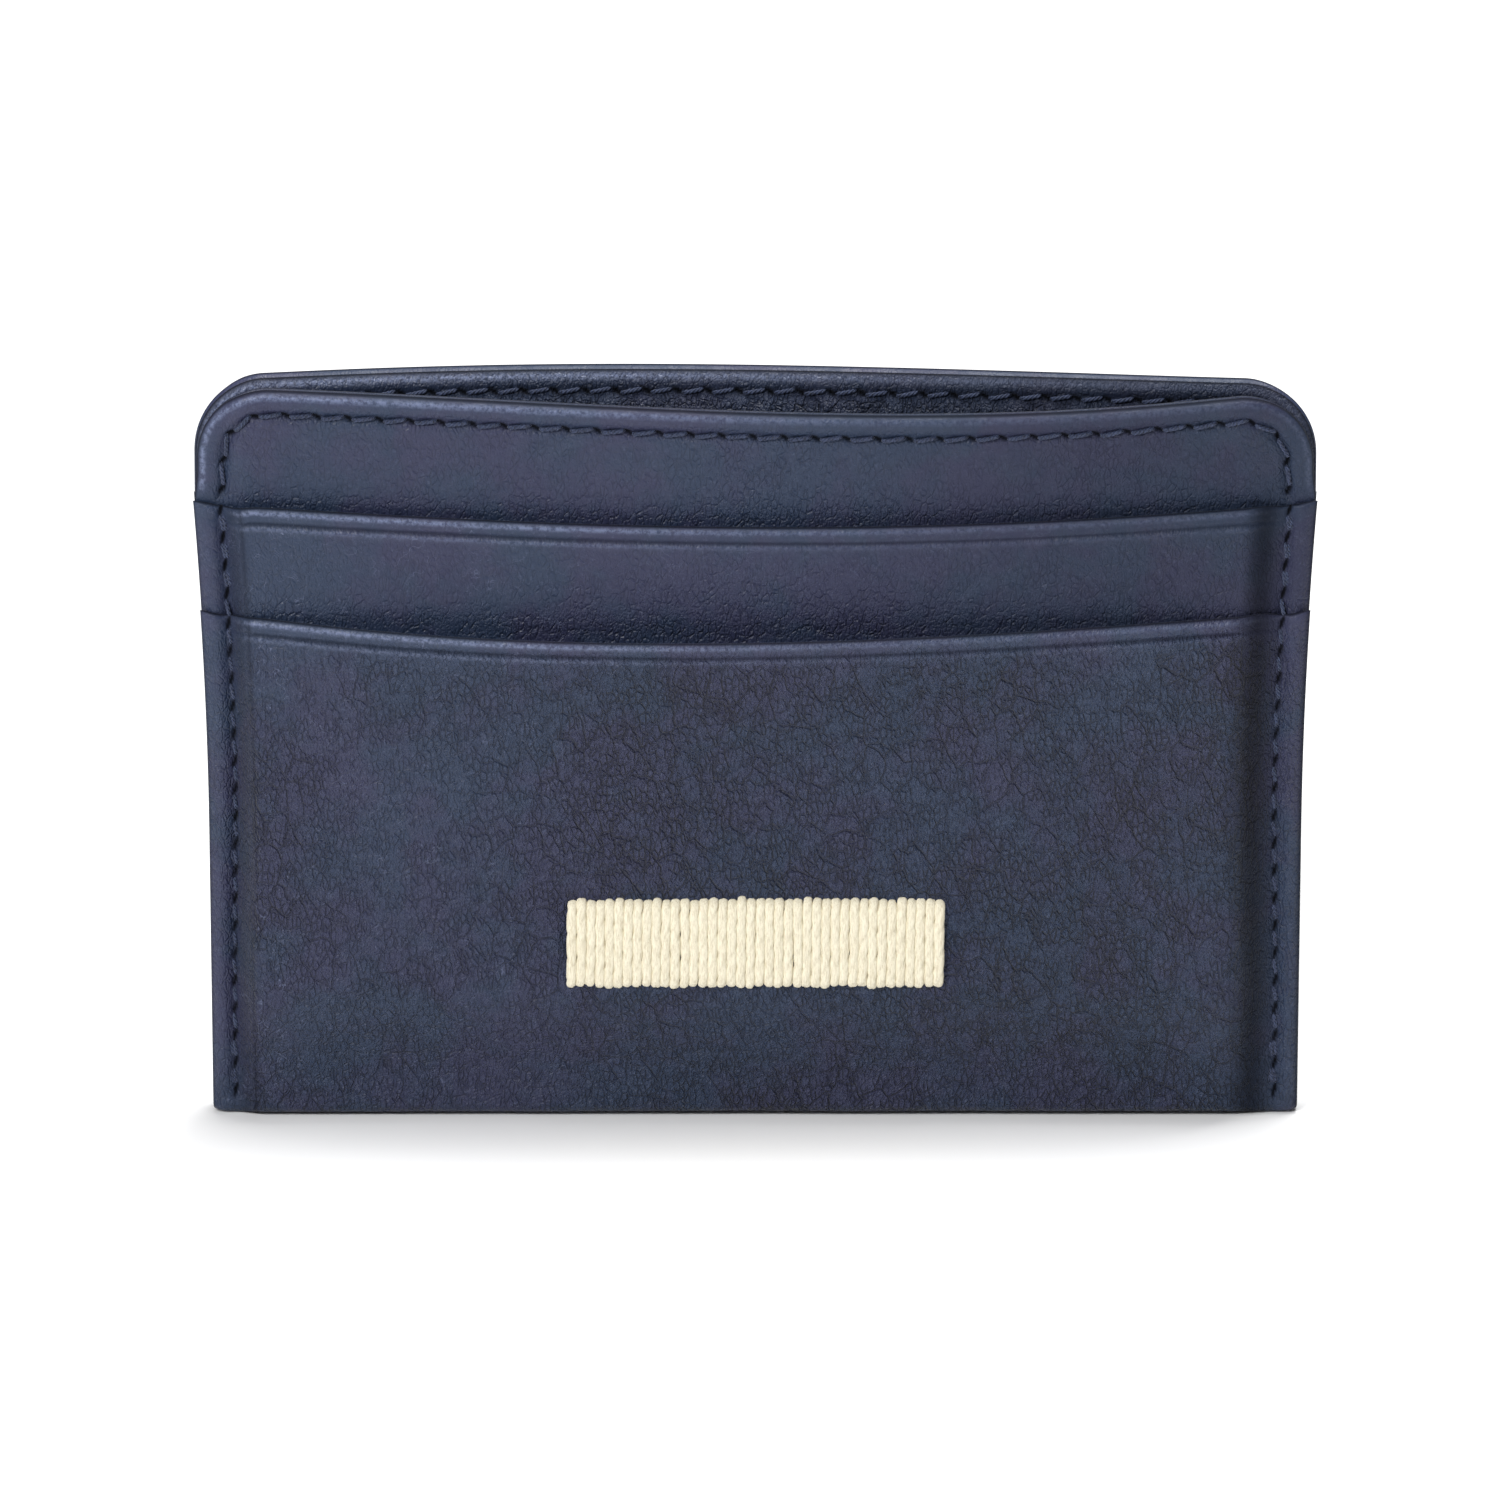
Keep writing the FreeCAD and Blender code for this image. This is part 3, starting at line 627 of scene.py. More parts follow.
def coarse_of(lines):
    """Every second line, with the outermost two drawn in a little from the edge."""
    lines = lines[::2].copy()
    lines[0] += 0.05
    lines[-1] -= 0.05
    return lines


def patch_pair(columns, rows):
    """The detailed and the coarse patch of a sheet."""
    return grid_patch(columns, rows), grid_patch(coarse_of(columns), coarse_of(rows))


def follow_lip(nominal, lip, lip_line):
    """Height of a row that follows the lip's curve near the lip and is level far below it."""
    return nominal + (lip_line - lip) * smooth((nominal - lip + 12) / 9)


def pocket_half(x, z, drop):
    """Half the thickness of a pocket's leather, which is turned over near the lip."""
    return (LEATHER + (TURNED - LEATHER) * smooth(TURN_DEEP - drop) * raised(x, z)) / 2


def fullness(drop, edge, half):
    """Share of the full thickness: round at the lip, nearly square at the side edges."""
    return rounded(drop, half) * rounded(edge, 0.25, 3.0)


def pocket_sheet(patches, shape, place, swell, seed):
    """Vertices and faces of a pocket's leather, x and z on its detailed face, and the marks there.

    shape gives x, the run up the sheet, z and the distances from the lip and the side edge at each vertex.
    place gives the point at x, a run and a depth below the face; swell is the leather's own unevenness.
    """
    (x, run, z, drop, edge), (bx, brun, bz, bdrop, bedge) = (shape(*patch[0].T) for patch in patches)
    half, back_half = pocket_half(x, z, drop), pocket_half(bx, bz, bdrop)
    pits = side_pits(x, z)
    relief = swell(x, run, z) + crease(drop, x) + seam_groove(x, z) - EDGE_FALL * hump(edge / 0.5)
    relief = relief * rounded(drop, 1.0) - PIT_DEEP * pits
    face = place(x, run, half * (1 - fullness(drop, edge, half)) - relief)
    back = place(bx, brun, back_half * (1 + fullness(bdrop, bedge, back_half)))
    return *join_faces(face, back, *patches), (x, z), pocket_marks(x, z, drop, edge, pits, seed)


def make_upper_pocket(name, node, side, material):
    """An upper pocket: sewn foot, pressed wings and a turned, creased lip."""
    seed = 90 + side

    def shape(x, nominal):
        half = edge_half(nominal) + 0.08
        x = x * half / HALF_BASE
        z = follow_lip(nominal, UPPER_LIP, upper_lip(x))
        edge = np.minimum(half - np.abs(x), z - FOOT)
        # Below the wings the pocket is only as wide as the card area.
        waist = smooth((z - FLARE_FROM + 3) / 3)
        x = x * (waist + (1 - waist) * (PAD_HALF + 0.5) / half)
        return x, z, z, upper_lip(x) - z, edge

    def place(x, z, depth):
        return points(x, side * (upper_level(x, z) - depth), z)

    def swell(x, _, z):
        return leather_swell(x, z, seed)

    rows = sheet_rows(UPPER_LIP, FOOT, 220, (UPPER_LIP - 5, 6.0, 2.0))
    patches = patch_pair(sheet_columns(236), rows)
    vertices, faces, (x, z), marks = pocket_sheet(patches, shape, place, swell, seed)
    marks["grain"] = 0.5 * marks["grain"] + crush(z - lower_lip(x, side))
    # Painted shade towards the right.
    marks["dark"] = np.maximum(marks["dark"], deeper(x))
    return make_piece(name, vertices, faces, material, "navy_leather", [node], marks)


def seam_groove(x, z):
    """The valley along a side seam, deeper at each stitch's ends."""
    off = np.abs(x) - seam_half(z)
    pull = 0.65 + 0.35 * np.cos(2 * math.pi * (z - MARGIN) / SIDE_PITCH)
    swell = SWELL * hump((off - 1.1 - 0.15 * pull) / 0.8) * (1 - 0.3 * pull)
    # Nothing swells under the base, which rests on the floor.
    return swell * smooth((z - 1) / 3) - VALLEY * hump(off / 0.6) * smooth((z - 1.5) / 1.5)


def grain_strength(x, z, seed):
    """Strength of the leather's grain: weak on the left, strong in the middle and on the right."""
    return 0.72 + 0.26 * smooth((x + 36) / 30) + 0.2 * lattice_noise(x, z, 11.0, seed + 20)


def deeper(x):
    """Painted shade: the upper leathers grow a little darker towards the right, away from the key light.
    """
    return 0.24 * smooth((x + 5) / 40)


def wear_and_highlight(x):
    """How strongly the lips and mouth edges are painted pale: partly real rubbing, partly a painted
    highlight, strongest on the left where the light falls.
    """
    return 0.35 + 0.65 * smooth((20 - x) / 50)


def crush(above):
    """Extra grain where leather is squeezed just above a pocket's lip."""
    return 0.12 * hump((above - 0.4) / 1.1)


def pocket_marks(x, z, drop, edge, pits, seed):
    """Where a pocket's leather is painted dark (shade and darkened edges), painted pale (highlight and
    rubbing) and strongly grained.
    """
    ends = raised(x, z)
    inside = seam_half(z) - np.abs(x)
    # Painted shade: a dark fold line on the left slope, and a broad band on the right slope, which faces
    # away from the light.
    fold_shade = np.maximum(0.4 * hump((inside - 1.0) / 0.9), 0.5 * hump((inside - 1.85) / 0.3))
    slope_shade = np.where(x < 0, fold_shade, 0.74 * hump((inside - 2.2) / 1.8))
    # Painted shade in the crease below the lip.
    line = 0.5 * hump((drop - CREASE_AT + 0.25) / 0.2) * ends
    # Painted shade in the valley along each side seam.
    valley = 0.2 * hump((np.abs(x) - seam_half(z)) / 0.35)
    # Painted shade on the top of the lip, and in the crease.
    lip = np.maximum(0.8 * hump(drop / 0.12), line)
    # Darkened side edges, widened and darkened on the right by painted shade.
    dark_edge_and_shade = np.where(x < 0, 0.5 * hump(edge / 0.22), 0.7 * hump(edge / 0.4))
    # Painted highlight on the crease's lower shoulder.
    shoulder = 0.45 * hump((drop - CREASE_AT - 0.15) / 0.25)
    calm = (1 - 0.65 * hump(drop / 2.2)) * (0.6 + 0.4 * ends)
    return {
        # Painted shade in the needle holes, crease, valleys, slopes and on the lip, and the darkened side
        # edges.
        "dark": np.maximum.reduce([smooth(1.6 * pits), lip, valley, slope_shade, dark_edge_and_shade]),
        "worn": np.maximum(hump((drop - 0.42) / 0.22), shoulder) * ends * wear_and_highlight(x),
        "grain": grain_strength(x, z, seed) * calm,
        "scuff": 0.25 + 0.5 * hump((x + PAD_HALF + 1) / 3.5) + 0.25 * hump((x + 27) / 14),
    }


def place_outer(x, run, depth):
    """A point of the outer leather. run is below 0 in front and above 0 behind, 0 under the base."""
    side = np.where(run < 0, FRONT, REAR)
    reach = np.abs(run)
    z = FOLD_TALL + reach - FOLD_STEPS
    front, rear = lower_level(x, z, FRONT), lower_level(x, z, REAR)
    leg = np.where(run < 0, front, rear)
    base = between(x, 0.0, PRESSED_FOLD, BASE_LEVEL)
    radius = FOLD_RADIUS - depth * 0.8
    level = base - depth
    flat, arc, upright = level - radius, radius * math.pi / 2, FOLD_TALL - depth - radius
    travel = np.clip(reach / FOLD_STEPS, 0, 1) * (flat + arc + upright)
    angle = np.clip((travel - flat) / radius, 0, math.pi / 2)
    fold_y = np.minimum(travel, flat) + radius * np.sin(angle)
    fold_z = depth + radius * (1 - np.cos(angle)) + np.clip(travel - flat - arc, 0, None)
    folded = reach < FOLD_STEPS
    y = np.where(folded, fold_y, leg - depth)
    z = np.where(folded, fold_z, z)
    arch = BASE_ARCH * (0.8 + 0.2 * share(x, HALF_BASE)) * raised(x) * (1 - smooth(z / 12))
    return points(x, side * y, z + arch)


def make_outer_leather(material):
    """The outer pockets: one piece of leather folded under the base."""

    def shape(x, run):
        side = np.where(run < 0, FRONT, REAR)
        nominal = FOLD_TALL + np.abs(run) - FOLD_STEPS
        half = edge_half(nominal) + 0.15
        x = x * half / HALF_BASE
        lip = np.where(run < 0, lower_lip(x, FRONT), lower_lip(x, REAR))
        z = follow_lip(nominal, LOWER_LIP, lip)
        return x, side * (z + FOLD_STEPS - FOLD_TALL), z, lip - z, half - np.abs(x)

    def swell(x, run, z):
        elsewhere = np.where(run < 0, 0.0, 300.0)  # so that the rear isn't the front's mirror image
        return leather_swell(x + elsewhere, z, 11) + np.where(run < 0, front_wrinkles(x, z), 0.0)

    top = FOLD_STEPS + LOWER_LIP - FOLD_TALL
    rows = sheet_rows(top, 0, 190, (0, 3.0, 1.5), (FOLD_STEPS, 2.0, 1.0))
    patches = patch_pair(sheet_columns(200), np.concatenate([-rows[:0:-1], rows]))
    vertices, faces, _, marks = pocket_sheet(patches, shape, place_outer, swell, 11)
    nodes = ["outer_leather"]
    return make_piece("folded_outer_leather", vertices, faces, material, "navy_leather", nodes, marks)


def front_wrinkles(x, z):
    """Long faint wrinkles low on the left, and the pull of the embroidery on the leather."""
    total = np.zeros_like(x)
    for start_x, start_z, turn, length, deep in (
        (-31, 10, 38, 20, 0.09),
        (-22, 9, 52, 15, 0.06),
        (-27, 19, 24, 16, 0.05),
        (27, 33, -50, 12, 0.05),
    ):
        angle = math.radians(turn)
        dx, dz = x - start_x, z - start_z
        lengthwise = dx * math.cos(angle) + dz * math.sin(angle)
        across = dz * math.cos(angle) - dx * math.sin(angle) - 0.8 * np.sin(lengthwise / 4)
        total -= deep * hump(across / 0.5) * hump((lengthwise - length / 2) / (length / 2))
    off = np.maximum(np.abs(x) - BAND_HALF, 0), np.maximum(np.abs(z - BAND_HIGH) - BAND_TALL / 2, 0)
    return total - 0.12 * hump(np.hypot(*off) / 0.8)


# ---------------------------------------------------------------- hidden layers


def make_layer(name, node, side, outer, thickness, material, slot, x_half, low_z, high_z):
    """A thin inner layer whose outer face follows outer(x, z)."""
    columns = spread(-x_half, x_half, 80, (-x_half, 0.3, 3.0), (x_half, 0.3, 3.0))
    rows = spread(low_z, high_z, 48, (low_z, 0.3, 3.0), (high_z, 0.3, 3.0))
    fine, coarse = patch_pair(columns, rows)

    def surface(patch, sign):
        """Points of the layer's outer face for sign 1, of its inner face for -1."""
        x, z = patch[0].T
        edge = np.minimum.reduce([x_half - np.abs(x), z - low_z, high_z - z])
        full = rounded(edge, thickness / 2)
        ripple = 0.012 * lattice_noise(x, z, 5.0, 71)
        level = outer(x, z) - thickness / 2 + ripple + sign * full * thickness / 2
        return points(x, side * level, z)

    vertices, faces = join_faces(surface(fine, 1), surface(coarse, -1), fine, coarse)
    return make_piece(name, vertices, faces, material, slot, [node])


def make_hidden_layers(board, textile, tape, backing):
    """Boards in the walls, linings and lip tapes in the pockets, and the backing of the embroidery."""
    room = 0.06

    def behind(level, depth):
        """A level that lies deeper by a depth."""
        return lambda x, z: level(x, z) - depth

    def span(node):
        """Half-width, lower and upper end of a model node."""
        return high(node, "X"), low(node, "Z"), high(node, "Z")

    for word, side in (("front", FRONT), ("rear", REAR)):
        wall = behind(lambda x, z, s=side: panel_level(x, z, s), LEATHER + 0.01)
        node, name = f"{word}_wall_board", f"{word}_bonded_board"
        make_layer(name, node, side, wall, BOARD - 0.04, board, "leather_board", *span(node))
        levels = {"upper": upper_level, "lower": lambda x, z, s=side: lower_level(x, z, s)}
        for pocket, lip in (("upper", UPPER_LIP), ("lower", LOWER_LIP)):
            node, name = f"{word}_{pocket}_pocket_lining", f"{word}_{pocket}_woven_lining"
            reach, start, stop = span(node)
            start = max(start, BASE_DRAW / 2) + 1
            stop = min(stop, lip - TURN_DEEP - UPPER_DIP - 0.4)
            under = behind(levels[pocket], LEATHER + room)
            extent = reach - 0.6, start, stop
            make_layer(name, node, side, under, TEXTILE, textile, "pocket_textile", *extent)
            node, name = f"{word}_{pocket}_lip_tape", f"{word}_{pocket}_tape"
            inside = behind(levels[pocket], TURNED / 2 - 0.06)
            make_layer(name, node, side, inside, 0.12, tape, "lip_tape", *span(node))
    under = behind(lambda x, z: lower_level(x, z, FRONT), LEATHER + room + TEXTILE + room)
    node = "embroidery_backing"
    make_layer("stabiliser", node, FRONT, under, 0.1, backing, "embroidery_backing", *span(node))


# ---------------------------------------------------------------- threads


def tube(path, radii, sides):
    """A closed tube along a path; radii is one number, or one for each ring and side."""
    way = unit(np.gradient(path, axis=0))
    across = unit(np.cross(way, [0.0, 1.0, 0.0]))
    over = np.cross(across, way)
    angles = np.linspace(0, 2 * math.pi, sides, endpoint=False)[None, :, None]
    radii = np.ones((len(path), sides)) * radii
    ring = across[:, None] * np.cos(angles) + over[:, None] * np.sin(angles)
    rings = path[:, None] + ring * radii[..., None]
    index = np.arange(len(path) * sides).reshape(-1, sides)
    faces = grid_quads(np.concatenate([index, index[:, :1]], axis=1)).tolist()
    faces += [index[0][::-1].tolist(), index[-1].tolist()]
    return rings.reshape(-1, 3), faces


def merge(shells):
    """One list of vertices and faces from many closed shells."""
    vertices, faces, count = [], [], 0
    for places, shell in shells:
        vertices.append(places)
        faces += [[v + count for v in face] for face in shell]
        count += len(places)
    return np.concatenate(vertices), faces


PLY = 0.105  # radius of one of a thread's three plies
TWIST = 1.3  # length of one turn of the plies


def stitch(start, stop, level, side, lift):
    """Three twisted plies from one needle slit over the leather to the next."""
    t = np.linspace(0, 1, 17)
    flat = start + (stop - start) * t[:, None]
    ground = level(flat[:, 0], flat[:, 1])
    straight = ground[0] + (ground[-1] - ground[0]) * t
    height = np.maximum(ground, straight) + lift - 0.55 * np.abs(2 * t - 1) ** 6
    centre = points(flat[:, 0], side * height, flat[:, 1])
    way = (centre[-1] - centre[0]) / np.linalg.norm(centre[-1] - centre[0])
    across = np.cross(way, [0, 1.0, 0])
    turns = 2 * math.pi * np.linalg.norm(stop - start) * t / TWIST
    shells = []
    for ply in range(3):
        angle = turns + 2 * math.pi * ply / 3
        offset = across * np.cos(angle)[:, None] + np.array([0, 1.0, 0]) * np.sin(angle)[:, None]
        shells.append(tube(centre + offset * PLY * 1.1, PLY, 7))
    return shells


def stitch_row(seam, level, side, seed, shift=0.0, turn=MOUTH_SLIT, reach=0.75):
    """All stitches of a row, each from the far end of one slit to the near end of the next.

    shift moves the row sideways, turn is the slits' angle and reach the share of a slit that shows.
    """
    holes, row = seam
    rng = np.random.default_rng(seed)
    slits = slit_ways(row, turn) * SLIT_HALF * reach
    beside = points(-row[:, 1], row[:, 0]) * shift
    shells = []
    for k in range(len(holes) - 1):
        start = holes[k] + slits[k] + beside[k] + rng.normal(0, 0.03, 2)
        stop = holes[k + 1] - slits[k + 1] + beside[k + 1] + rng.normal(0, 0.03, 2)
        shells += stitch(start, stop, level, side, 0.08 + rng.normal(0, 0.015))
    return shells


def part_of(seam, start, stop):
    """Some of a seam's needle holes."""
    return seam[0][start:stop], seam[1][start:stop]


def make_mouth_stitches(name, node, side, material):
    """Both faces of a wall's mouth seam; the inner row stops where the two walls touch."""
    seam = mouth_seam(side)
    shells = stitch_row(seam, lambda x, z: panel_level(x, z, side) - MOUTH_SINK, side, 5)

    def inner(x, z):
        return -(lining_level(x, z, side, np.full_like(x, MOUTH_MARGIN[side])) + 0.14)

    # Only the holes high enough for the walls to stand apart there.
    open_run = np.nonzero(seam[0][:, 1] > UPPER_LIP + 4.5)[0]
    inside = part_of(seam, open_run[0], open_run[-1] + 1)
    shells += stitch_row(inside, inner, -side, 6)
    return make_piece(name, *merge(shells), material, "navy_thread", [node])


def make_side_stitches(name, node, hand, material):
    """A side seam on the front and the rear, doubled at its two ends."""
    seam = side_seam(hand)
    shells = []
    for side in (FRONT, REAR):
        level = lambda x, z, s=side: outermost(x, z, s) - SIDE_SINK
        rows = [(seam, 9 + hand, 0.0)]
        rows += [(part_of(seam, 0, 3), 20 + hand, 0.3), (part_of(seam, -4, None), 20 + hand, -0.3)]
        for row, seed, shift in rows:
            shells += stitch_row(row, level, side, seed, shift, SIDE_SLIT, 1.1)
    return make_piece(name, *merge(shells), material, "navy_thread", [node])


def make_foot_stitches(name, node, side, material):
    """The row that closes an upper pocket's foot."""
    high_z = FOOT + 1
    line = points(np.linspace(-PAD_HALF + 2, PAD_HALF - 2, 50), np.full(50, high_z))
    shells = stitch_row(along(line, PITCH), upper_level, side, 31)
    return make_piece(name, *merge(shells), material, "navy_thread", [node])


BAND_HALF = high("embroidered_band", "X")  # of the embroidery
BAND_TALL = high("embroidered_band", "Z") - low("embroidered_band", "Z")
BAND_HIGH = (high("embroidered_band", "Z") + low("embroidered_band", "Z")) / 2
CORDS = 40
CORD_RADIUS = 0.5
CORD_TURN = 4.6  # length of one turn of a cord's two plies


def make_embroidery(material):
    """A plain rectangular band of upright twisted cords in satin stitch."""
    rng = np.random.default_rng(4)
    pitch = 2 * BAND_HALF / CORDS
    shells = []
    for cord in range(CORDS):
        middle = -BAND_HALF + pitch * (cord + 0.5)
        t = np.linspace(-1, 1, 57)
        tall = BAND_TALL / 2 + rng.normal(0, 0.07)
        sway = rng.normal(0, 0.03) * np.cos(2.2 * t + rng.uniform(0, 6)) + rng.normal(0, 0.015)
        x = middle + sway + 0.1 * t**3
        z = BAND_HIGH + rng.normal(0, 0.05) + tall * t
        ground = lower_level(x, z, FRONT)
        height = ground + 0.22 - 0.62 * np.abs(t) ** 14
        path = points(x, -height, z)
        angles = np.linspace(0, 2 * math.pi, 18, endpoint=False)[None, :]
        twist = 2 * math.pi * (z[:, None] - z[0]) / CORD_TURN + rng.uniform(0, 6)
        plies = 1 - 0.3 * (1 - np.abs(np.sin(angles + twist))) ** 4
        fuzz = 1 + 0.03 * lattice_noise(np.cos(angles) * 3 + cord * 9, z[:, None] * 2.0, 0.6, 8)
        swell = CORD_RADIUS * (1 + rng.normal(0, 0.02)) * (1 - 0.2 * np.abs(t[:, None]) ** 20)
        squash = np.hypot(np.cos(angles), 0.7 * np.sin(angles))
        shells.append(tube(path, swell * plies * fuzz * squash, 18))
    return make_piece("satin_cords", *merge(shells), material, "cream_thread", ["embroidered_band"])


# ---------------------------------------------------------------- materials


def colour(red, green, blue):
    """A linear colour from screen values of 0 to 255."""
    return [((c / 255 + 0.055) / 1.055) ** 2.4 for c in (red, green, blue)] + [1.0]


LINE_TONE = colour(12, 16, 32)  # in the lines between grain cells
SPECK_TONE = colour(80, 90, 116)
SCUFF_TONE = colour(98, 106, 134)
WORN_AND_LIT_TONE = colour(110, 120, 150)  # painted highlight along the lit lip tops and mouth edges, mixed with real rubbing
DARK_TONE = colour(4, 5, 9)  # painted shade in stitch holes, creases, seam valleys and slopes, and the darkened edges


def node(tree, kind, inputs=None, **settings):
    """Adds a shader node; each input, by its name or number, is a value or another node's output."""
    made = tree.nodes.new(kind)
    for label, setting in settings.items():
        setattr(made, label, setting)
    for label, source in (inputs or {}).items():
        if isinstance(source, bpy.types.NodeSocket):
            tree.links.new(source, made.inputs[label])
        else:
            made.inputs[label].default_value = source
    return made


def maths(tree, operation, first, second=0.0, third=0.0):
    """The output of a maths node."""
    inputs = {0: first, 1: second, 2: third}
    return node(tree, "ShaderNodeMath", inputs, operation=operation).outputs[0]


def times(tree, first, second):
    """The product of two values."""
    return maths(tree, "MULTIPLY", first, second)


def remap(tree, source, low_in, high_in, low_out=0.0, high_out=1.0):
    """A smooth step from low_out to high_out as the source goes from low_in to high_in."""
    inputs = {"Value": source, "From Min": low_in, "From Max": high_in}
    inputs.update({"To Min": low_out, "To Max": high_out})
    return node(tree, "ShaderNodeMapRange", inputs, interpolation_type="SMOOTHSTEP").outputs["Result"]


def mix(tree, share_of, first, second):
    """A colour from the first to the second as share_of goes from 0 to 1."""
    inputs = {0: share_of, 6: first, 7: second}
    return node(tree, "ShaderNodeMix", inputs, data_type="RGBA").outputs[2]


def vectors(tree, operation, first, second):
    """The output of a vector maths node."""
    return node(tree, "ShaderNodeVectorMath", {0: first, 1: second}, operation=operation).outputs[0]


def noise(tree, place, scale, detail=2.0, rough=0.5):
    """Soft noise of 0 to 1 with scale features to the millimetre."""
    inputs = {"Vector": place, "Scale": scale, "Detail": detail, "Roughness": rough}
    return node(tree, "ShaderNodeTexNoise", inputs).outputs["Fac"]


def begin(name):
    """A new material's tree, and the place on the object in millimetres."""
    material = bpy.data.materials.new(name)
    material.use_nodes = True
    tree = material.node_tree
    tree.nodes.clear()
    place = node(tree, "ShaderNodeTexCoord").outputs["Object"]
    return material, tree, stretched(tree, place, (1 / MM,) * 3)


def finish_material(tree, inputs, height, strength, depth):
    """Adds the shader and the bump of a height; depth is in millimetres."""
    bump = {"Strength": strength, "Distance": depth * MM, "Height": height}
    normal = node(tree, "ShaderNodeBump", bump).outputs[0]
    shader = node(tree, "ShaderNodeBsdfPrincipled", {**inputs, "Normal": normal})
    node(tree, "ShaderNodeOutputMaterial", {"Surface": shader.outputs[0]})


def mark(tree, label):
    """A value stored at the mesh's points, 0 where there is none."""
    return node(tree, "ShaderNodeAttribute", attribute_name=label).outputs["Fac"]


def stretched(tree, place, factors):
    """Places scaled along each axis; a larger factor makes features narrower."""
    return vectors(tree, "MULTIPLY", place, factors)


def warped(tree, place, size, amount):
    """Places shifted by soft noise, so that cells lose their regular look."""
    shift = node(tree, "ShaderNodeTexNoise", {"Vector": place, "Scale": 1 / size, "Detail": 2.0})
    centred = vectors(tree, "SUBTRACT", shift.outputs["Color"], (0.5,) * 3)
    return vectors(tree, "ADD", place, stretched(tree, centred, (amount,) * 3))


def cracks(tree, place, size, wide):
    """1 inside grain cells, 0 in the fine lines between them."""
    inputs = {"Vector": place, "Scale": 1 / size, "Randomness": 1.0}
    cells = node(tree, "ShaderNodeTexVoronoi", inputs, feature="DISTANCE_TO_EDGE")
    return remap(tree, cells.outputs["Distance"], 0.0, wide)


def leather(name, cool, warm, grain, depth, rough):
    """Calf leather: upright grain cells, longer wrinkles, scuffs, lips painted pale with a painted
    highlight and rubbing, and painted shade in stitch holes, creases and seam valleys.
    """
    material, tree, place = begin(name)
    strength = maths(tree, "MAXIMUM", mark(tree, "grain"), 0.15)
    dark = mark(tree, "dark")

    bent = warped(tree, place, 1.3, 0.35)
    cell = cracks(tree, stretched(tree, bent, (1.4, 1.0, 0.72)), grain, 0.17)
    bent = warped(tree, place, 0.5, 0.25)
    fine = cracks(tree, stretched(tree, bent, (1.2, 1.0, 0.8)), grain * 0.5, 0.3)
    bent = warped(tree, warped(tree, place, 5.0, 3.0), 0.9, 0.5)
    wrinkle = cracks(tree, stretched(tree, bent, (1.1, 1.0, 0.6)), grain * 3.2, 0.05)
    where = remap(tree, noise(tree, place, 0.22, 2.0), 0.35, 0.65, 0.3, 1.0)
    wrinkled = times(tree, where, remap(tree, strength, 0.5, 0.9))
    grooves = times(tree, maths(tree, "SUBTRACT", 1.0, wrinkle), wrinkled)
    fading = remap(tree, noise(tree, place, 0.7, 3.0, 0.6), 0.38, 0.58, 0.2, 1.0)
    cell_lines = times(tree, maths(tree, "SUBTRACT", 1.0, cell), fading)
    pores = noise(tree, place, 4.0, 3.0, 0.6)
    height = maths(tree, "MULTIPLY_ADD", cell_lines, -0.7, times(tree, fine, 0.25))
    height = maths(tree, "MULTIPLY_ADD", pores, 0.5, height)
    height = maths(tree, "MULTIPLY_ADD", grooves, -1.0, height)

    patch = noise(tree, warped(tree, place, 9.0, 6.0), 0.11, 4.0, 0.6)
    tone = mix(tree, remap(tree, patch, 0.38, 0.62), cool, warm)
    lines = times(tree, times(tree, cell_lines, strength), 0.48)
    tone = mix(tree, maths(tree, "MAXIMUM", lines, times(tree, grooves, 0.5)), tone, LINE_TONE)
    speck = remap(tree, noise(tree, place, 3.0, 3.0, 0.75), 0.52, 0.75, 0.0, 0.3)
    tone = mix(tree, speck, tone, SPECK_TONE)
    tone = mix(tree, times(tree, scuffs(tree, place), mark(tree, "scuff")), tone, SCUFF_TONE)
    # Painted highlight with real rubbing on the lips and mouth edges, broken into specks.
    patchy = remap(tree, noise(tree, place, 2.4, 4.0, 0.7), 0.36, 0.62, 0.15, 1.0)
    worn = times(tree, mark(tree, "worn"), patchy)
    tone = mix(tree, times(tree, worn, 0.9), tone, WORN_AND_LIT_TONE)
    # Painted shade in needle holes, creases, valleys, slopes and towards the right, and the darkened
    # edges; its shine is lowered too, to keep it dark.
    tone = mix(tree, times(tree, dark, 0.96), tone, DARK_TONE)

    gloss = remap(tree, noise(tree, place, 0.5, 3.0), 0.3, 0.7, rough - 0.05, rough + 0.07)
    gloss = maths(tree, "MULTIPLY_ADD", worn, -0.08, gloss)
    gloss = maths(tree, "MULTIPLY_ADD", dark, 0.4, gloss)
    shine = maths(tree, "MULTIPLY_ADD", dark, -0.28, 0.36)
    shader = {"Base Color": tone, "Roughness": gloss, "Specular IOR Level": shine}
    shader.update({"Sheen Weight": 0.04, "Sheen Roughness": 0.4})
    finish_material(tree, shader, height, strength, depth)
    return material


def scuffs(tree, place):
    """Hair-thin pale scratches: the contour lines of two soft noises."""
    lines = []
    for scale, shift in ((0.3, 0.47), (0.75, 0.52)):
        field = noise(tree, warped(tree, place, 3.0, 1.2), scale, 3.0, 0.55)
        off = maths(tree, "ABSOLUTE", maths(tree, "SUBTRACT", field, shift))
        lines.append(remap(tree, off, 0.0, 0.006, 1.0, 0.0))
    broken = remap(tree, noise(tree, place, 0.6, 2.0), 0.42, 0.6)
    return times(tree, maths(tree, "MAXIMUM", *lines), broken)


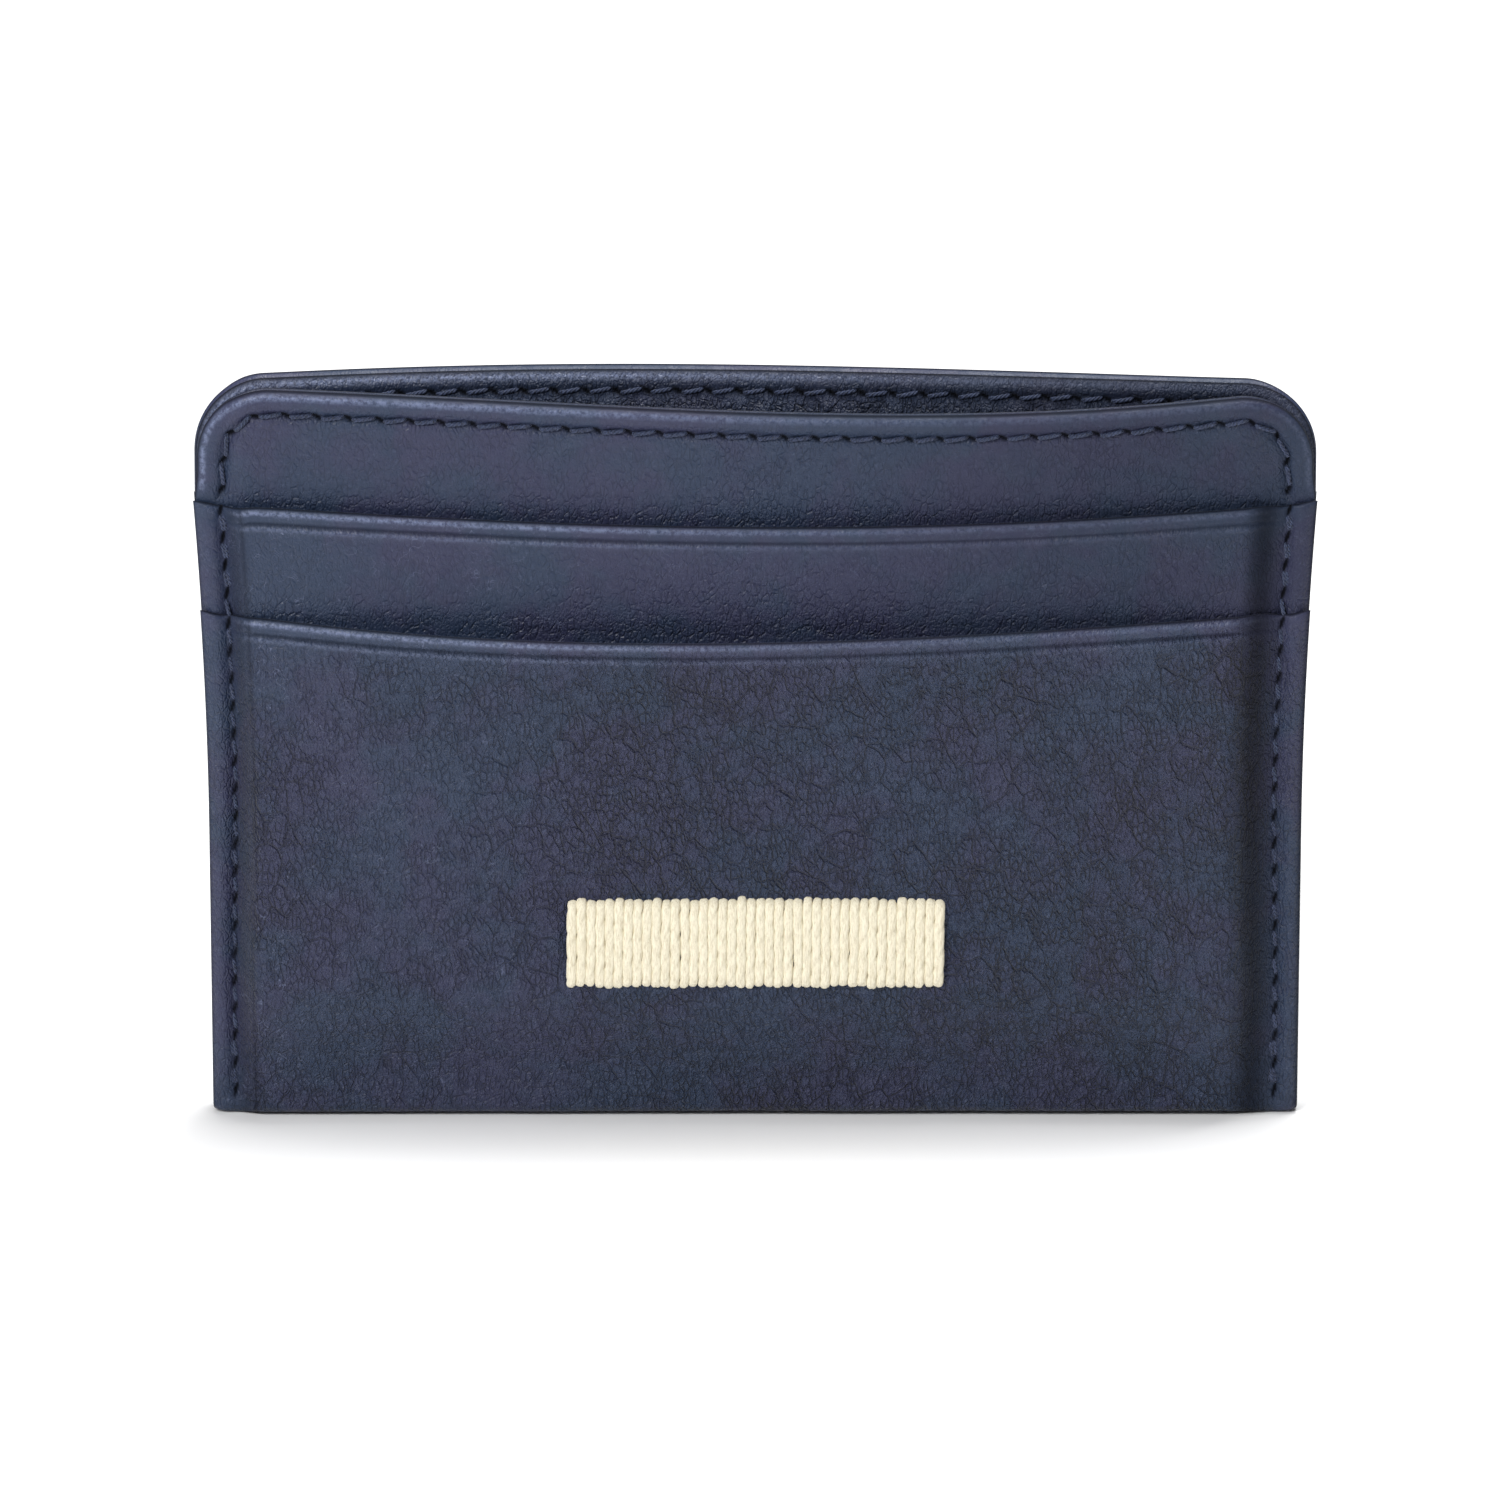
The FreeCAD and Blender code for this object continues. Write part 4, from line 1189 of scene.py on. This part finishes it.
def woven(name, tone, size, depth):
    """A plain weave: warp and weft waves that pass over and under each other."""
    material, tree, place = begin(name)
    split = node(tree, "ShaderNodeSeparateXYZ", {"Vector": warped(tree, place, 4.0, 0.25)})
    waves = [maths(tree, "SINE", times(tree, split.outputs[axis], math.pi / size)) for axis in ("X", "Z")]
    over = times(tree, *waves)
    height = maths(tree, "MULTIPLY_ADD", over, 0.5, times(tree, noise(tree, place, 9.0), 0.3))
    # Painted shade where the threads dip under each other.
    dark = [c * 0.55 for c in tone[:3]] + [1.0]
    look = mix(tree, remap(tree, over, -0.6, 0.5), dark, tone)
    finish_material(tree, {"Base Color": look, "Roughness": 0.85, "Sheen Weight": 0.2}, height, 0.8, depth)
    return material


def fibrous(name, tone, deep_tone, scale):
    """Pressed fibres: bonded board and non-woven backing."""
    material, tree, place = begin(name)
    fibres = noise(tree, stretched(tree, place, (scale * 2.5, scale, scale * 0.5)), 1.0, 6.0, 0.7)
    clumps = noise(tree, place, 0.4, 3.0)
    look = mix(tree, remap(tree, fibres, 0.35, 0.65), deep_tone, tone)
    look = mix(tree, times(tree, clumps, 0.4), look, deep_tone)
    shader = {"Base Color": look, "Roughness": 0.9, "Specular IOR Level": 0.2}
    finish_material(tree, shader, fibres, 0.7, 0.03)
    return material


def yarn(name, tone, deep_tone, rough, sheen):
    """Spun thread: fine fibres along the yarn and a little unevenness in its dye."""
    material, tree, place = begin(name)
    fibres = noise(tree, stretched(tree, place, (9.0, 9.0, 1.4)), 1.0, 4.0, 0.65)
    spots = noise(tree, place, 0.8, 3.0)
    look = mix(tree, remap(tree, fibres, 0.3, 0.62), deep_tone, tone)
    look = mix(tree, remap(tree, spots, 0.55, 0.8, 0.0, 0.35), look, deep_tone)
    shader = {"Base Color": look, "Roughness": rough, "Sheen Weight": sheen, "Specular IOR Level": 0.3}
    finish_material(tree, shader, fibres, 0.6, 0.05)
    return material


# ---------------------------------------------------------------- the object

navy = leather("navy_leather", colour(40, 53, 77), colour(47, 50, 77), 0.7, 0.36, 0.44)
pocket_leather = leather("lining_leather", colour(39, 49, 71), colour(41, 46, 68), 0.62, 0.34, 0.4)
navy_yarn = yarn("navy_thread", colour(60, 70, 98), colour(20, 25, 40), 0.45, 0.1)
cream_yarn = yarn("cream_thread", colour(238, 231, 208), colour(212, 201, 174), 0.8, 0.15)
board_look = fibrous("leather_board", colour(140, 108, 78), colour(92, 66, 46), 1.2)
backing_look = fibrous("non_woven", colour(222, 220, 212), colour(176, 172, 160), 0.9)
lining_look = woven("woven_lining", colour(40, 45, 62), 0.28, 0.06)
tape_look = woven("lip_tape", colour(200, 194, 178), 0.22, 0.05)

make_outer_leather(navy)
for word, side in (("front", FRONT), ("rear", REAR)):
    make_wall_layer(f"{word}_wall_leather", f"{word}_panel", side, navy, "navy_leather", False)
    node_name = f"{word}_panel_lining"
    make_wall_layer(f"{word}_wall_lining", node_name, side, pocket_leather, "lining_leather", True)
    make_upper_pocket(f"{word}_upper_pocket_leather", f"{word}_upper_pocket", side, navy)
    make_mouth_stitches(f"{word}_mouth_stitches", f"{word}_mouth_seam_thread", side, navy_yarn)
    make_foot_stitches(f"{word}_foot_stitches", f"{word}_pocket_foot_thread", side, navy_yarn)
for word, hand in (("left", -1), ("right", 1)):
    make_side_stitches(f"{word}_side_stitches", f"{word}_side_seam_thread", hand, navy_yarn)
make_hidden_layers(board_look, lining_look, tape_look, backing_look)
make_embroidery(cream_yarn)


# ---------------------------------------------------------------- the studio


def make_floor():
    """A plain pale floor."""
    material, tree, place = begin("floor")
    look = mix(tree, noise(tree, place, 0.01, 2.0), colour(250, 250, 250), colour(246, 246, 247))
    shader = {"Base Color": look, "Roughness": 0.8, "Specular IOR Level": 0.1}
    finish_material(tree, shader, noise(tree, place, 1.0), 0.05, 0.1)
    reach = 3.0
    corners = [(-reach, -reach, 0), (reach, -reach, 0), (reach, reach, 0), (-reach, reach, 0)]
    mesh = bpy.data.meshes.new("floor")
    mesh.from_pydata(corners, [], [(0, 1, 2, 3)])
    mesh.materials.append(material)
    floor = bpy.data.objects.new("floor", mesh)
    bpy.context.scene.collection.objects.link(floor)


def add_light(name, place, aim, size, power):
    """A square area light, all in metres and watts."""
    light = bpy.data.lights.new(name, "AREA")
    light.shape = "SQUARE"
    light.size = size
    light.energy = power
    lamp = bpy.data.objects.new(name, light)
    lamp.location = place
    lamp.rotation_euler = (Vector(aim) - Vector(place)).to_track_quat("-Z", "Y").to_euler()
    bpy.context.scene.collection.objects.link(lamp)


CAMERA_ELEVATION = math.radians(20)
CAMERA_FAR = 1.2
CAMERA_LENS = 314.0  # millimetres, on a 36 mm sensor
CAMERA_LIFT = 0.00025
CAMERA_SHIFT = -0.00048  # aims slightly left, so the holder stands slightly right in the view


def add_camera():
    """The camera at the holder's front, looking a little down."""
    data = bpy.data.cameras.new("camera")
    data.lens = CAMERA_LENS
    camera = bpy.data.objects.new("camera", data)
    aim = Vector((CAMERA_SHIFT, 0, HEIGHT * MM / 2 + CAMERA_LIFT))
    away = Vector((0, -math.cos(CAMERA_ELEVATION), math.sin(CAMERA_ELEVATION)))
    camera.location = aim + away * CAMERA_FAR
    camera.rotation_euler = (-away).to_track_quat("-Z", "Y").to_euler()
    bpy.context.scene.collection.objects.link(camera)
    bpy.context.scene.camera = camera


def add_world():
    """Even white light from all round."""
    world = bpy.data.worlds.new("studio")
    world.use_nodes = True
    backdrop = world.node_tree.nodes["Background"]
    backdrop.inputs["Color"].default_value = (1.0, 1.0, 1.0, 1.0)
    backdrop.inputs["Strength"].default_value = 0.19
    bpy.context.scene.world = world


make_floor()
middle_high = (0, 0, HEIGHT * MM / 2)
add_light("key", (-0.42, -0.66, 0.68), middle_high, 0.3, 7.1)
add_light("top", (0.12, 0.14, 1.0), (0, 0, 0), 0.5, 11.0)
add_light("side", (-0.9, -0.3, 0.3), middle_high, 0.4, 0.4)
add_world()
add_camera()
bpy.context.scene.view_settings.view_transform = "Standard"
